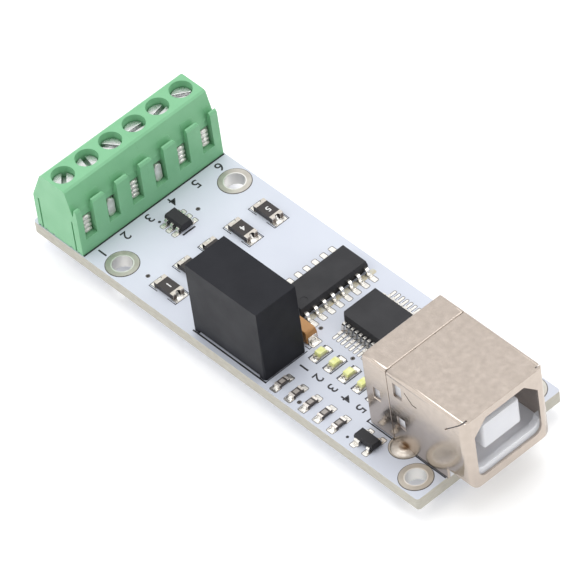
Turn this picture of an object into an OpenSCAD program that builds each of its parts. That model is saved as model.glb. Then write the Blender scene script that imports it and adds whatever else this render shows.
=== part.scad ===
// Serial adapter module: a white board with a screw terminal block at one end and a square
// socket at the other. Lengths are in millimetres. The origin is the centre of the four
// mounting holes, on the underside of the board. X runs from the terminals to the socket,
// Y from the near long edge to the far one, and Z is up.

/* [Board] */
// Length of the board
board_l = 62; // [60:0.5:70]
// Width of the board
board_w = 21.2; // [21.2:0.1:26]
// Thickness of the board
board_t = 1.6; // [1:0.1:2.4]
// Radius of the board's corners
board_corner_r = 0.4; // [0.2:0.1:2]
// Distance between the mounting holes along the board
hole_span_x = 47; // [46:0.5:48]
// Distance from the mounting holes to the long edges
hole_edge = 2.2; // [2.1:0.05:2.4]
// Distance from the mounting holes to the socket end of the board
hole_inset = 2.55; // [2.2:0.05:3.5]
// Bore of each mounting hole
mount_hole_d = 2.4; // [2:0.1:2.6]
// Diameter of the plated ring round each mounting hole
ring_d = 3.8; // [3.4:0.1:4]
// Thickness of the metal plated in the holes
plating_t = 0.1; // [0.05:0.01:0.15]
// Height of the plated rings above the board
ring_h = 0.05; // [0.03:0.01:0.1]
// Diameter of the small holes between copper layers
via_d = 0.45; // [0.3:0.05:0.6]
// Distance that every through-hole pin stands out below the board
pin_proud = 1.9; // [1.2:0.1:3]

/* [Terminal block] */
// Distance between neighbouring terminals
pitch = 3.5; // [3.4:0.1:3.5]
// Terminals in each of the two joined housings
poles = 3; // [3:1:3]
// Distance from the board's end to the back of the housing
term_setback = 0.85; // [0.4:0.05:1.2]
// Depth of the housing at its foot
term_depth = 7.45; // [7:0.05:8]
// Height of the housing
term_h = 9; // [8.6:0.1:10]
// Height of the upright part of the wire side
back_wall_h = 4.7; // [4.2:0.1:5.2]
// Depth of the flat top
top_depth = 4.1; // [3.8:0.1:4.4]
// Distance from the wire side to the flat top
top_setback = 1.75; // [1.5:0.05:2]
// Amount that the pillars stand out from the inner face
pillar_proud = 0.7; // [0.6:0.05:0.8]
// Height at which the pillars' sloping tops meet the slope of the housing
pillar_h = 7.25; // [7:0.05:7.5]
// Drop of the pillars' tops towards their fronts
pillar_drop = 0.4; // [0.2:0.05:0.5]
// Radius of one upper corner of each pillar
pillar_r = 0.5; // [0.3:0.05:0.6]
// Height at which the slope of the housing turns upright
slope_foot = 5.8; // [5.6:0.1:6]
// Width of the slots between the pillars
slot_w = 1.65; // [1.4:0.05:1.8]
// Distance of the slots from the middles of the terminals
slot_shift = 0.1; // [0:0.05:0.2]
// Height of the rail under the slots
rail_h = 2; // [1.6:0.1:2.4]
// Thickness of the wall between a clamp and its slot
window_wall_t = 0.45; // [0.4:0.05:0.6]
// Height of the top of each clamp window
window_top = 4.8; // [4.6:0.1:5]
// Diameter of each screw well
well_d = 2.7; // [2.6:0.05:3]
// Width of each wire entry
entry_w = 2.3; // [2:0.1:2.4]
// Height of each wire entry
entry_h = 2.8; // [2.4:0.1:3]
// Diameter of a terminal screw's head
screw_head_d = 2.45; // [2.2:0.05:2.5]
// Height of a terminal screw's head
screw_head_h = 1.2; // [0.8:0.1:1.3]
// Depth of the heads below the rims of the wells
screw_sunk = 0.9; // [0.7:0.1:1.2]
// Diameter of a terminal screw's thread
screw_d = 1.8; // [1.6:0.1:2]
// Thickness of a cage's bent metal
cage_t = 0.4; // [0.3:0.05:0.5]
// Width of a cage
cage_w = 2.2; // [2:0.1:2.2]
// Width of the boss pressed in the front of a cage
boss_w = 1; // [0.8:0.05:1.2]
// Height of the boss pressed in the front of a cage
boss_h = 2.55; // [2.2:0.05:2.8]
// Amount that the boss stands out from the inner face of the housing
boss_proud = 0.15; // [0:0.05:0.2]
// Diameter of the beads across a ribbed boss
bead_d = 0.5; // [0.4:0.05:0.6]
// Width of a terminal's solder pin
term_pin_w = 0.9; // [0.7:0.1:1]

/* [Socket] */
// Distance of the socket's foot above the board
usb_lift = 0.08; // [0.06:0.02:0.16]
// Width of the socket's shell
usb_w = 11.8; // [11.6:0.1:12.2]
// Depth of the socket's shell
usb_depth = 15.8; // [15.6:0.1:16.4]
// Height of the socket's shell
usb_h = 10.9; // [10.8:0.1:11.4]
// Distance that the socket overhangs the board's end
usb_overhang = 4; // [3.4:0.1:4.4]
// Sideways place of the socket's middle
usb_y = -0.4; // [-0.6:0.1:0]
// Thickness of the shell's sheet
shell_t = 0.3; // [0.25:0.05:0.35]
// Radius of the bends along the shell
shell_bend_r = 0.45; // [0.4:0.05:0.6]
// Radius of the shell's upright front edges
lip_r = 0.95; // [0.6:0.05:1.2]
// Radius of the lower corners of the shell's mouth
lip_corner_r = 1.5; // [1:0.1:1.8]
// Height of the mouth frame's lower edge over the board
lip_rise = 0.6; // [0.3:0.1:0.9]
// Length of the rear cover
cover_l = 3.7; // [3:0.1:4]
// Width of the seam between the shell and its rear cover
seam_gap = 0.12; // [0.05:0.01:0.15]
// Width of the mouth
mouth_w = 9.2; // [9:0.1:9.4]
// Height of the mouth
mouth_h = 8.2; // [8:0.1:8.4]
// Height of the mouth's lower edge over the board
mouth_z = 1.75; // [1.6:0.05:1.9]
// Bevel of the mouth's upper corners
mouth_bevel = 1.8; // [1.4:0.1:2.2]
// Radius of the mouth's lower corners
mouth_r = 1.1; // [0.6:0.1:1.4]
// Depth of the socket's cavity
cavity_depth = 9; // [8.5:0.1:9.5]
// Width of the tongue
tongue_w = 5.6; // [5.4:0.1:5.8]
// Height of the tongue
tongue_h = 3.4; // [3:0.1:3.6]
// Distance from the mouth to the tongue's end
tongue_setback = 1; // [0.8:0.1:1.5]
// Height of the insert's floor over the board
floor_z = 2.2; // [2:0.1:2.4]
// Height of the insert's front rim over the board
rim_z = 2.7; // [2.5:0.1:2.9]
// Thickness of the insert's front rim
rim_t = 0.8; // [0.5:0.1:1.2]
// Distance from the mouth to the middle of the shell's solder tabs
tab_from_mouth = 10.6; // [10.4:0.1:10.8]
// Width of each shell tab
tab_w = 1.8; // [1.4:0.1:2]
// Diameter of each shell tab's hole
tab_hole_d = 2.2; // [2.1:0.1:2.4]
// Diameter of the plated ring round each tab hole
tab_ring_d = 3.6; // [3:0.1:3.8]
// Distance from the tabs back to the first row of socket pins
pin_row_from_tab = 2.6; // [2.4:0.1:2.7]
// Distance between the two rows of socket pins
pin_row_gap = 1.9; // [1.8:0.1:2]
// Distance between the socket pins across the board
pin_gap_y = 2.5; // [2.3:0.1:2.7]
// Width of the socket's contacts
contact_w = 0.9; // [0.6:0.1:1]
// Thickness of the socket's contacts
contact_t = 0.25; // [0.2:0.05:0.3]

/* [Converter] */
// Length of the converter's case
dc_l = 11.6; // [11:0.1:12]
// Width of the converter's case
dc_w = 6; // [5.6:0.1:6.1]
// Height of the converter's case
dc_h = 10.16; // [9:0.1:11]
// Place of the case's middle along the board
dc_x = -4.5; // [-4.8:0.1:-4.3]
// Distance from the near long edge to the case's middle
dc_inset = 3.85; // [3.8:0.05:4]
// Wall thickness of the converter's case
dc_wall = 0.7; // [0.4:0.1:1]
// Distance of the potting from the case's rim
dc_potting_sunk = 0.6; // [0.5:0.1:0.8]
// Height of the feet under the case's long sides
dc_foot_h = 0.4; // [0.3:0.05:0.5]
// Length of each foot
dc_foot_l = 0.9; // [0.6:0.1:1.2]
// Narrowing of the case towards its top on each side
dc_draft = 0.12; // [0.05:0.01:0.2]
// Distance between the converter's pins
dc_pitch = 2.54; // [2.4:0.02:2.6]
// Distance from the near face to the row of pins
dc_pin_inset = 1.6; // [1.4:0.1:2.5]
// Width of the converter's square pins
dc_pin_w = 0.5; // [0.4:0.05:0.6]
// Length of the pins inside the potting
dc_pin_inner = 3; // [2:0.5:5]

/* [Chips] */
// Length of the isolator chip's body
iso_l = 9.9; // [9.6:0.1:10]
// Width of the isolator chip's body
iso_w = 3.9; // [3.7:0.1:4]
// Height of the isolator chip
iso_h = 1.55; // [1.4:0.05:1.8]
// Distance over the isolator's lead tips
iso_span = 5.9; // [5.8:0.1:6.2]
// Distance between the isolator's leads
iso_pitch = 1.27; // [1.2:0.01:1.3]
// Place of the isolator's middle along the board
iso_x = -4.3; // [-4.5:0.05:-3.9]
// Distance from the far long edge to the isolator's middle
iso_inset = 6.6; // [6.2:0.1:6.8]
// Length of the bridge chip's body
bridge_l = 10.2; // [9.9:0.1:10.4]
// Width of the bridge chip's body
bridge_w = 5.3; // [5.1:0.1:5.5]
// Height of the bridge chip
bridge_h = 1.85; // [1.7:0.05:2]
// Distance over the bridge chip's lead tips
bridge_span = 7.8; // [7.6:0.1:8]
// Distance between the bridge chip's leads
bridge_pitch = 0.65; // [0.62:0.01:0.68]
// Place of the bridge chip's middle along the board
bridge_x = 6.4; // [6.3:0.1:6.7]
// Distance from the far long edge to the bridge chip's middle
bridge_inset = 6.5; // [6.2:0.1:6.7]
// Cut corner of the bridge chip's body
bridge_notch = 0.45; // [0.3:0.05:0.6]
// Length of the two small chips' bodies
sot_l = 2.9; // [2.8:0.1:3]
// Width of the buffer chip's body
buffer_w = 1.6; // [1.5:0.1:1.7]
// Height of the buffer chip
buffer_h = 1.15; // [1:0.05:1.3]
// Distance over the buffer's lead tips
buffer_span = 2.9; // [2.7:0.1:3.1]
// Place of the buffer's middle along the board
buffer_x = -23.35; // [-23.6:0.05:-23.1]
// Place of the buffer's middle across the board
buffer_y = -0.1; // [-0.4:0.1:0.2]
// Width of the surge guard chip's body
guard_w = 1.4; // [1.3:0.1:1.5]
// Height of the surge guard chip
guard_h = 1; // [0.9:0.05:1.1]
// Distance over the surge guard's lead tips
guard_span = 2.5; // [2.4:0.1:2.6]
// Place of the surge guard's middle along the board
guard_x = 16.1; // [15.9:0.1:16.3]
// Distance from the near long edge to the surge guard's middle
guard_inset = 2.15; // [2:0.05:2.2]

/* [Small parts] */
// Length of the tantalum capacitor
tant_l = 3.2; // [3:0.1:3.4]
// Width of the tantalum capacitor
tant_w = 1.6; // [1.5:0.1:1.7]
// Height of the tantalum capacitor
tant_h = 1.7; // [1.5:0.1:1.9]
// Thickness of the capacitor's folded terminals
tant_cap_t = 0.12; // [0.1:0.01:0.2]
// Place of the capacitor's middle along the board
tant_x = -0.75; // [-0.9:0.05:-0.6]
// Distance from the near long edge to the capacitor's middle
tant_inset = 8.3; // [8.2:0.05:8.4]
// Length of a fuse
fuse_l = 3.2; // [3:0.1:3.4]
// Width of a fuse
fuse_w = 1.6; // [1.4:0.1:1.8]
// Height of a fuse
fuse_h = 0.8; // [0.6:0.05:0.9]
// Length of a fuse's end caps
fuse_cap_l = 0.55; // [0.4:0.05:0.7]
// Place of the fuses' middles along the board
fuse_x = -17; // [-17.3:0.1:-16.7]
// Distance from one fuse to the next across the board
fuse_pitch = 3.82; // [3.6:0.02:3.9]
// Distance from the near long edge to the nearest fuse
fuse_inset = 2.85; // [2.7:0.05:3]
// Distance between neighbouring lamps and resistors along the board
lamp_pitch = 2.25; // [2:0.05:2.3]
// Length of a lamp
lamp_l = 1.6; // [1.5:0.1:1.8]
// Width of a lamp
lamp_w = 0.85; // [0.75:0.05:0.95]
// Height of a lamp
lamp_h = 0.65; // [0.5:0.05:0.8]
// Height of a lamp's base
lamp_base_h = 0.25; // [0.2:0.05:0.35]
// Distance from a lamp's ends to its lens
lamp_end = 0.2; // [0.1:0.05:0.3]
// Place of the first lamp along the board
lamp_x = 2.85; // [2.8:0.05:3]
// Distance from the near long edge to the lamps
lamp_inset = 7.58; // [7.5:0.02:7.7]
// Length of a resistor
res_l = 1.6; // [1.5:0.1:1.7]
// Width of a resistor
res_w = 0.8; // [0.7:0.05:0.9]
// Height of a resistor
res_h = 0.45; // [0.4:0.05:0.55]
// Length of a resistor's end caps
res_cap_l = 0.3; // [0.2:0.05:0.4]
// Thickness of the metal on the small parts' ends
cap_t = 0.05; // [0.03:0.01:0.08]
// Distance from the near long edge to the resistors
res_inset = 1.88; // [1.8:0.02:2]

/* [Hidden] */
$fn = 48;
SLOT_ANGLES = [-42, -13, 34, 86, 102, 57];
RIBBED_POLES = [true, false, true, false, true, true];
VIAS = [[-23.43, 2.8], [-20.02, -7.74], [0, -0.4], [5.88, -1.15], [6.25, -9.38]];
FUSES = 5;
FUSE_SLIPS = [[0.3, 0.2], [0.1, 0], [0.05, 0], [0, 0], [0, 0]];
LAMPS = 5;
hole_span_y = board_w - 2 * hole_edge;
edge_y = -board_w / 2;
board_x1 = hole_span_x / 2 + hole_inset;
board_x0 = board_x1 - board_l;
top = board_t;
cut = 0.01;

all_poles = 2 * poles;
block_w = poles * pitch;
term_x0 = board_x0 + term_setback;
wall_x = term_depth - pillar_proud;
well_x = top_setback + top_depth / 2;
cage_z = 0.6;
cage_x0 = 1.3;
cage_x1 = wall_x - window_wall_t;
cage_h = 5.2;
cage_plate_t = 0.9;
cage_clear = 0.1;
pin_play = 0.15;
term_pin_x = well_x;
term_pin_t = cage_t * 1.5;
leaf_t = 0.2;
leaf_z = 4;
leaf_x0 = 2;
leaf_w = cage_w - 0.6;
crest_x = top_setback + top_depth + 0.1;
crest_bevel = 0.2;
boss_z = rail_h + 0.05;
boss_x = wall_x + boss_proud;
pillar_bevel = 0.15;
pillar_tilt = atan(pillar_drop / (term_depth - pillar_bevel - slope_x(pillar_h)));
groove_w = 0.22;
groove_xs = [0.85, wall_x - 0.35];
foot_notch_xs = [0.3, 1.4, 2.6, 5.5, 6.8];
foot_notch = [0.25, 0.3, 0.2];

usb_x1 = board_x1 + usb_overhang;
usb_x0 = usb_x1 - usb_depth;
seam_x = usb_x0 + cover_l;
tab_x = usb_x1 - tab_from_mouth;
tab_y = usb_w / 2 - shell_t / 2;
row_x = [tab_x - pin_row_from_tab, tab_x - pin_row_from_tab - pin_row_gap];
insert_clear = 0.05;
insert_w = usb_w - 2 * shell_t - 2 * insert_clear;
insert_x0 = usb_x0 + shell_t + insert_clear;
insert_x1 = usb_x1 - shell_t - insert_clear;
insert_top = usb_h - shell_t - insert_clear;
cavity_x0 = usb_x1 - cavity_depth;
tongue_z = mouth_z + mouth_h / 2 + 0.1;
lip_x0 = board_x1 + 0.25;
insert_r = 0.15;
insert_low_r = 1.15;
insert_bevel = 1.5;
tongue_r = 0.4;
windows = [[-0.55, 1.3, 3, 1.6], [-0.55, 1.3, 7.7, 2.1]];
cover_window = [1.2, 1.05, 5.05, 1.55];
spring_x = tab_x + 1.25;
spring_z = 8.3;
slit_w = 0.14;
corner_slit_l = 4.1;

dc_y = edge_y + dc_inset;
iso_y = -edge_y - iso_inset;
bridge_y = -edge_y - bridge_inset;
guard_y = edge_y + guard_inset;
tant_y = edge_y + tant_inset;
fuse_y = edge_y + fuse_inset;
lamp_y = edge_y + lamp_inset;
res_y = edge_y + res_inset;
notch_d = 0.6;
lamp_notch_d = 0.35;

solder_sunk = 0.15;
foot_t = 0.2;
chip_rise = 0.12;

function slope_x(z) = wall_x - (z - slope_foot) * (wall_x - crest_x) / (term_h - crest_bevel - slope_foot);
function pole_y(i) = -block_w + (i + 0.5) * pitch;
function lamp_at(i) = lamp_x + (i - 1) * lamp_pitch;
function fuse_at(i) = [fuse_x, fuse_y + (i - 1) * fuse_pitch] + FUSE_SLIPS[i - 1];

// A block with its middle at x, y and its foot at z
module block(l, w, h, at = [0, 0, 0]) {
    translate([at[0] - l / 2, at[1] - w / 2, at[2]]) cube([l, w, h]);
}

// A flat outline with round corners, from its lower left corner
module round_outline(l, w, r) {
    translate([r, 0]) square([l - 2 * r, w]);
    translate([0, r]) square([l, w - 2 * r]);
    for (x = [r, l - r], y = [r, w - r]) translate([x, y]) circle(r);
}

// An outline drawn in X and Z, run along Y from y0 for a width w
module run_y(w, y0 = 0) {
    translate([0, y0 + w, 0]) rotate([90, 0, 0]) linear_extrude(w) children();
}

// An outline drawn in Y and Z, run along X from x0 for a length l
module run_x(l, x0 = 0) {
    translate([x0, 0, 0]) rotate([90, 0, 90]) linear_extrude(l) children();
}

module at_mount_holes() {
    for (x = [-1, 1], y = [-1, 1]) translate([x * hole_span_x / 2, y * hole_span_y / 2, 0]) children();
}

module at_tab_holes() {
    for (side = [-1, 1]) translate([tab_x, usb_y + side * tab_y, 0]) children();
}

module at_terminal_pins() {
    for (i = [0:all_poles - 1]) translate([term_x0 + term_pin_x, pole_y(i), 0]) children();
}

module at_socket_pins() {
    for (x = row_x, side = [-1, 1]) translate([x, usb_y + side * pin_gap_y / 2, 0]) children();
}

module at_converter_pins() {
    for (i = [0:3]) {
        translate([dc_x + (i - 1.5) * dc_pitch, dc_y - dc_w / 2 + dc_pin_inset, 0]) children();
    }
}

// The glass-fibre board with its drilled holes
module board() {
    color("ghostwhite") difference() {
        translate([board_x0, -board_w / 2, 0]) {
            linear_extrude(board_t) round_outline(board_l, board_w, board_corner_r);
        }
        translate([0, 0, -cut]) linear_extrude(board_t + 2 * cut) {
            at_mount_holes() circle(d = mount_hole_d + 2 * plating_t);
            at_tab_holes() circle(d = tab_hole_d + 2 * plating_t);
            at_terminal_pins() circle(d = term_pin_w + 2 * pin_play);
            at_converter_pins() circle(d = dc_pin_w * 1.42 + pin_play);
            at_socket_pins() circle(d = contact_w + 2 * pin_play);
            for (v = VIAS) translate(v) circle(d = via_d);
        }
    }
}

// One plated hole: a barrel through the board with a ring on each face
module plated_hole(bore_d, outer_d) {
    rotate_extrude() {
        translate([bore_d / 2, -ring_h]) square([plating_t, board_t + 2 * ring_h]);
        for (z = [-ring_h, board_t]) {
            translate([bore_d / 2, z]) square([(outer_d - bore_d) / 2, ring_h]);
        }
    }
}

module mount_rings() {
    color("silver") at_mount_holes() plated_hole(mount_hole_d, ring_d);
}

module tab_rings() {
    color("silver") at_tab_holes() plated_hole(tab_hole_d, tab_ring_d);
}

// Solder that fills the holes round the shell's tabs
module tab_solder() {
    color("peru") at_tab_holes() difference() {
        translate([0, 0, -solder_sunk]) cylinder(h = board_t, d = tab_hole_d);
        block(tab_w, shell_t, 2 * board_t, [0, 0, -board_t]);
    }
}

// The side view of a housing, with the wire side at x = 0
module housing_outline() {
    polygon([
        [0, 0], [term_depth, 0],
        [term_depth, pillar_h - pillar_drop - 2 * pillar_bevel],
        [term_depth - pillar_bevel, pillar_h - pillar_drop],
        [slope_x(pillar_h), pillar_h], [crest_x, term_h - crest_bevel], [crest_x - 0.25, term_h],
        [top_setback + 0.35, term_h], [top_setback, term_h - 0.3],
        [0.1, back_wall_h + 0.3], [0, back_wall_h]
    ]);
}

// The side view of the slot between two pillars, in front of the housing's upright wall and slope
module slot_outline() {
    polygon([
        [wall_x, rail_h], [wall_x, slope_foot], [slope_x(pillar_h), pillar_h],
        [term_depth + 1, pillar_h], [term_depth + 1, rail_h]
    ]);
}

// Everything cut out of a housing for one terminal, centred on y = 0
module terminal_hollow() {
    // slot between two pillars, the round upper corner of the pillar beside it, and the window
    translate([0, -slot_w / 2 - slot_shift, 0]) {
        run_y(slot_w) slot_outline();
        intersection() {
            run_y(pillar_r + cut, -pillar_r) slot_outline();
            translate([slope_x(pillar_h), -pillar_r, pillar_h]) rotate([0, pillar_tilt, 0]) {
                translate([-1, 0, -pillar_r]) difference() {
                    cube([term_depth, pillar_r + cut, 1]);
                    rotate([0, 90, 0]) cylinder(h = term_depth, r = pillar_r);
                }
            }
        }
        translate([cage_x1 - cut, 0, rail_h]) cube([1, slot_w, window_top - rail_h]);
    }
    // room for the cage
    cage_room = cage_w + 2 * cage_clear;
    translate([cage_x0 - cage_clear, -cage_room / 2, cage_z]) {
        cube([cage_x1 - cage_x0 + 2 * cage_clear, cage_room, cage_h + cage_clear]);
    }
    // wire entry with a wider mouth
    block(4, entry_w, entry_h, [0, 0, cage_z + cage_t + 0.1]);
    translate([0, 0, cage_z + cage_t + 0.1 + entry_h / 2]) rotate([0, 90, 0]) {
        cylinder(h = 1.2, d1 = entry_h + 0.5, d2 = entry_h - 0.7, center = true);
    }
    // screw well
    translate([well_x, 0, cage_z + cage_h]) cylinder(h = term_h, d = well_d);
    // way out for the solder pin
    block(term_pin_t + 0.1, term_pin_w + 0.1, cage_z + 2 * cut, [term_pin_x, 0, -cut]);
}

// One housing of three terminals, with a tongue at its outer end and a groove beside it
module terminal_housing(first) {
    side = first == 0 ? -1 : 1;
    outer_y = side * block_w;
    color("mediumseagreen") translate([term_x0, 0, top]) difference() {
        run_y(block_w, first == 0 ? -block_w : 0) housing_outline();
        for (i = [first:first + poles - 1]) translate([0, pole_y(i), 0]) terminal_hollow();
        // interlocking grooves of the end wall, and the gaps between its feet
        for (x = groove_xs) block(groove_w, 0.5, back_wall_h, [x, outer_y, -cut]);
        for (x = foot_notch_xs) {
            block(foot_notch[0], 2 * foot_notch[1], foot_notch[2] + cut, [x, outer_y, -cut]);
        }
    }
}

module terminal_housing_near() {
    terminal_housing(0);
}

module terminal_housing_far() {
    terminal_housing(poles);
}

// Slotted screws, each turned to its own angle
module terminal_screws() {
    head_z = term_h - screw_sunk - screw_head_h;
    shank = head_z - leaf_z - leaf_t;
    color("silver") for (i = [0:all_poles - 1]) {
        translate([term_x0 + well_x, pole_y(i), top + head_z]) rotate(SLOT_ANGLES[i]) difference() {
            union() {
                cylinder(h = screw_head_h, d = screw_head_d);
                translate([0, 0, -shank]) cylinder(h = shank + cut, d = screw_d);
            }
            block(screw_head_d + 1, 0.5, 1, [0, 0, screw_head_h - 0.7]);
        }
    }
}

// The boss pressed in the front of a cage: a smooth oval, or beads one over another
module cage_boss(ribbed) {
    if (ribbed) {
        plate_x = boss_x - bead_d / 2;
        block(plate_x - cage_x1 + 2 * cut, boss_w + 0.2, boss_h, [(plate_x + cage_x1) / 2, 0, boss_z]);
        beads = floor(boss_h / (bead_d + 0.1));
        for (i = [0:beads - 1]) translate([plate_x, 0, boss_z + (i + 0.5) * boss_h / beads]) {
            rotate([90, 0, 0]) cylinder(h = boss_w, d = bead_d, center = true);
        }
    } else {
        run_x(boss_x - cage_x1 + cut, cage_x1 - cut) translate([-boss_w / 2, boss_z]) {
            round_outline(boss_w, boss_h, boss_w / 2 - cut);
        }
    }
}

// One bent cage with its solder pin: the thick top plate takes the screw's thread
module terminal_cage(i) {
    plate_z = cage_z + cage_h - cage_plate_t;
    pin_h = cage_z + board_t + pin_proud;
    color("gainsboro") translate([term_x0, pole_y(i - 1), top]) {
        difference() {
            union() {
                run_y(cage_w, -cage_w / 2) polygon([
                    [cage_x0, cage_z], [cage_x1, cage_z], [cage_x1, cage_z + cage_h],
                    [cage_x0, cage_z + cage_h], [cage_x0, plate_z],
                    [cage_x1 - cage_t, plate_z], [cage_x1 - cage_t, cage_z + cage_t],
                    [cage_x0, cage_z + cage_t]
                ]);
                cage_boss(RIBBED_POLES[i - 1]);
            }
            translate([well_x, 0, plate_z - cut]) cylinder(h = 2 * cage_plate_t, d = screw_d);
        }
        block(term_pin_t, term_pin_w, pin_h, [term_pin_x, 0, cage_z - pin_h]);
    }
}

// Leaves that the screws press on the wires
module terminal_leaves() {
    back = cage_x1 - cage_t;
    foot = cage_z + cage_t;
    color("gainsboro") for (i = [0:all_poles - 1]) translate([term_x0, 0, top]) {
        run_y(leaf_w, pole_y(i) - leaf_w / 2) polygon([
            [leaf_x0, leaf_z], [back - leaf_t, leaf_z], [back - leaf_t, foot], [back, foot],
            [back, leaf_z + leaf_t], [leaf_x0, leaf_z + leaf_t]
        ]);
    }
}

// The outline of the shell in Y and Z: square bends above, open below
module shell_outline(w, h, r) {
    translate([-w / 2, usb_lift]) square([w, h - r - usb_lift]);
    translate([-w / 2 + r, usb_lift]) square([w - 2 * r, h - usb_lift]);
    for (side = [-1, 1]) translate([side * (w / 2 - r), h - r]) circle(r);
}

// The outline of the mouth frame: as the shell above, with large round corners below
module frame_outline(w, h, r, low, low_r) {
    intersection() {
        shell_outline(w, h, r);
        translate([-w / 2, low]) {
            translate([0, low_r]) square([w, h]);
            translate([low_r, 0]) square([w - 2 * low_r, h]);
            for (side = [0, 1]) translate([low_r + side * (w - 2 * low_r), low_r]) circle(low_r);
        }
    }
}

// The mouth: square with bevelled upper corners
module mouth_outline(grow = 0) {
    half = mouth_w / 2 + grow;
    low = mouth_z - grow;
    high = mouth_z + mouth_h + grow;
    polygon([
        for (a = [0:15:90]) [-half + mouth_r * (1 - cos(a)), low + mouth_r * (1 - sin(a))],
        for (a = [90:-15:0]) [half - mouth_r * (1 - cos(a)), low + mouth_r * (1 - sin(a))],
        [half, high - mouth_bevel], [half - mouth_bevel, high],
        [-half + mouth_bevel, high], [-half, high - mouth_bevel]
    ]);
}

// Plan of the shell with its round upright front edges
module shell_plan(x0, w, r) {
    l = usb_x1 - x0;
    translate([x0, -w / 2]) square([l - r, w]);
    translate([x0, -w / 2 + r]) square([l, w - 2 * r]);
    for (side = [-1, 1]) translate([usb_x1 - r, side * (w / 2 - r)]) circle(r);
}

// The drawn sheet-metal shell round the mouth, with solder tabs and side springs
module socket_shell() {
    front_x0 = seam_x + seam_gap;
    inner_w = usb_w - 2 * shell_t;
    inner_r = shell_bend_r - shell_t;
    color("tan") translate([0, usb_y, top]) {
        difference() {
            intersection() {
                union() {
                    run_x(lip_x0 - front_x0 + cut, front_x0) shell_outline(usb_w, usb_h, shell_bend_r);
                    run_x(usb_x1 - lip_x0, lip_x0) {
                        frame_outline(usb_w, usb_h, shell_bend_r, lip_rise, lip_corner_r);
                    }
                }
                linear_extrude(usb_h) shell_plan(front_x0, usb_w, lip_r);
            }
            // inside of the shell behind the frame
            intersection() {
                union() {
                    run_x(lip_x0 - front_x0 + 2 * cut, front_x0 - cut) {
                        translate([0, -cut]) shell_outline(inner_w, usb_h - shell_t + cut, inner_r);
                    }
                    run_x(usb_x1 - shell_t - lip_x0, lip_x0) {
                        low = lip_rise + shell_t;
                        frame_outline(inner_w, usb_h - shell_t, inner_r, low, lip_corner_r - shell_t);
                    }
                }
                translate([-shell_t, 0, -1]) linear_extrude(usb_h + 2) {
                    shell_plan(front_x0 - 1, inner_w, lip_r - shell_t);
                }
            }
            run_x(2, usb_x1 - 1) mouth_outline();
            // stamped windows above each tab
            for (w = windows) translate([tab_x + w[0], -usb_w, w[2]]) cube([w[1], 2 * usb_w, w[3]]);
            // bent slit beside each side spring
            translate([spring_x, -usb_w, spring_z]) {
                translate([0, 0, 1.1]) rotate([0, 45, 0]) cube([1.55, 2 * usb_w, slit_w]);
                translate([1.1, 0, 0]) cube([0.7, 2 * usb_w, slit_w]);
            }
            // slit at each end of the folded top edge
            for (side = [-1, 1]) translate([usb_x1 - 3.15, side * usb_w / 2, usb_h - 2.7]) {
                rotate([0, -44, 0]) block(corner_slit_l, 1.8, slit_w, [corner_slit_l / 2, 0, 0]);
            }
        }
        for (side = [-1, 1]) {
            tab_len = board_t + pin_proud;
            block(tab_w, shell_t, tab_len + usb_lift + cut, [tab_x, side * tab_y, -tab_len]);
        }
    }
}

// The separate cover folded over the back of the shell
module socket_rear_cover() {
    inner_w = usb_w - 2 * shell_t;
    color("tan") translate([0, usb_y, top]) difference() {
        run_x(cover_l, usb_x0) shell_outline(usb_w, usb_h, shell_bend_r);
        run_x(cover_l, usb_x0 + shell_t) {
            translate([0, -cut]) shell_outline(inner_w, usb_h - shell_t + cut, shell_bend_r - shell_t);
        }
        translate([usb_x0 + cover_window[0], -usb_w, cover_window[2]]) {
            cube([cover_window[1], 2 * usb_w, cover_window[3]]);
        }
    }
}

// The opening over the insert's front rim, which rises at both sides
module rim_opening() {
    half = mouth_w / 2;
    polygon([
        [-usb_w, 0.9], [-half, 0.9], [-half + 0.25, 0.35], [-half + 0.9, 0],
        [half - 0.9, 0], [half - 0.25, 0.35], [half, 0.9], [usb_w, 0.9],
        [usb_w, usb_h], [-usb_w, usb_h]
    ]);
}

// The tongue from the front, with round edges
module tongue_section() {
    translate([-tongue_w / 2, -tongue_h / 2]) round_outline(tongue_w, tongue_h, tongue_r);
}

// The moulded insert: a block with the socket's cavity, the tongue and the pin slots
module socket_insert() {
    color("whitesmoke") translate([0, usb_y, top]) difference() {
        union() {
            difference() {
                union() {
                    run_x(lip_x0 - insert_x0, insert_x0) shell_outline(insert_w, insert_top, insert_r);
                    run_x(insert_x1 - lip_x0, lip_x0) {
                        low = lip_rise + shell_t + insert_clear;
                        frame_outline(insert_w, insert_top, insert_r, low, insert_low_r);
                    }
                }
                // open above the floor, with a rim along the front
                translate([cavity_x0, -usb_w, floor_z]) {
                    cube([insert_x1 - rim_t - cavity_x0, 2 * usb_w, usb_h]);
                }
                run_x(cavity_depth, insert_x1 - rim_t - cut) translate([0, rim_z]) rim_opening();
            }
            tongue_l = usb_x1 - tongue_setback - cavity_x0;
            intersection() {
                translate([cavity_x0, 0, tongue_z]) run_x(tongue_l) tongue_section();
                linear_extrude(usb_h) translate([cavity_x0 - 1, -tongue_w / 2]) {
                    round_outline(tongue_l + 1, tongue_w, tongue_r);
                }
            }
        }
        // the front edge stays clear of the shell's round upright edges
        for (side = [-1, 1]) translate([usb_x1, side * usb_w / 2, -cut]) {
            rotate(45) block(insert_bevel, insert_bevel, usb_h + 1);
        }
        // slots for the contacts
        for (row = [0, 1], side = [-1, 1]) contact_path(row, side, 0.02);
    }
}

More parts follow.
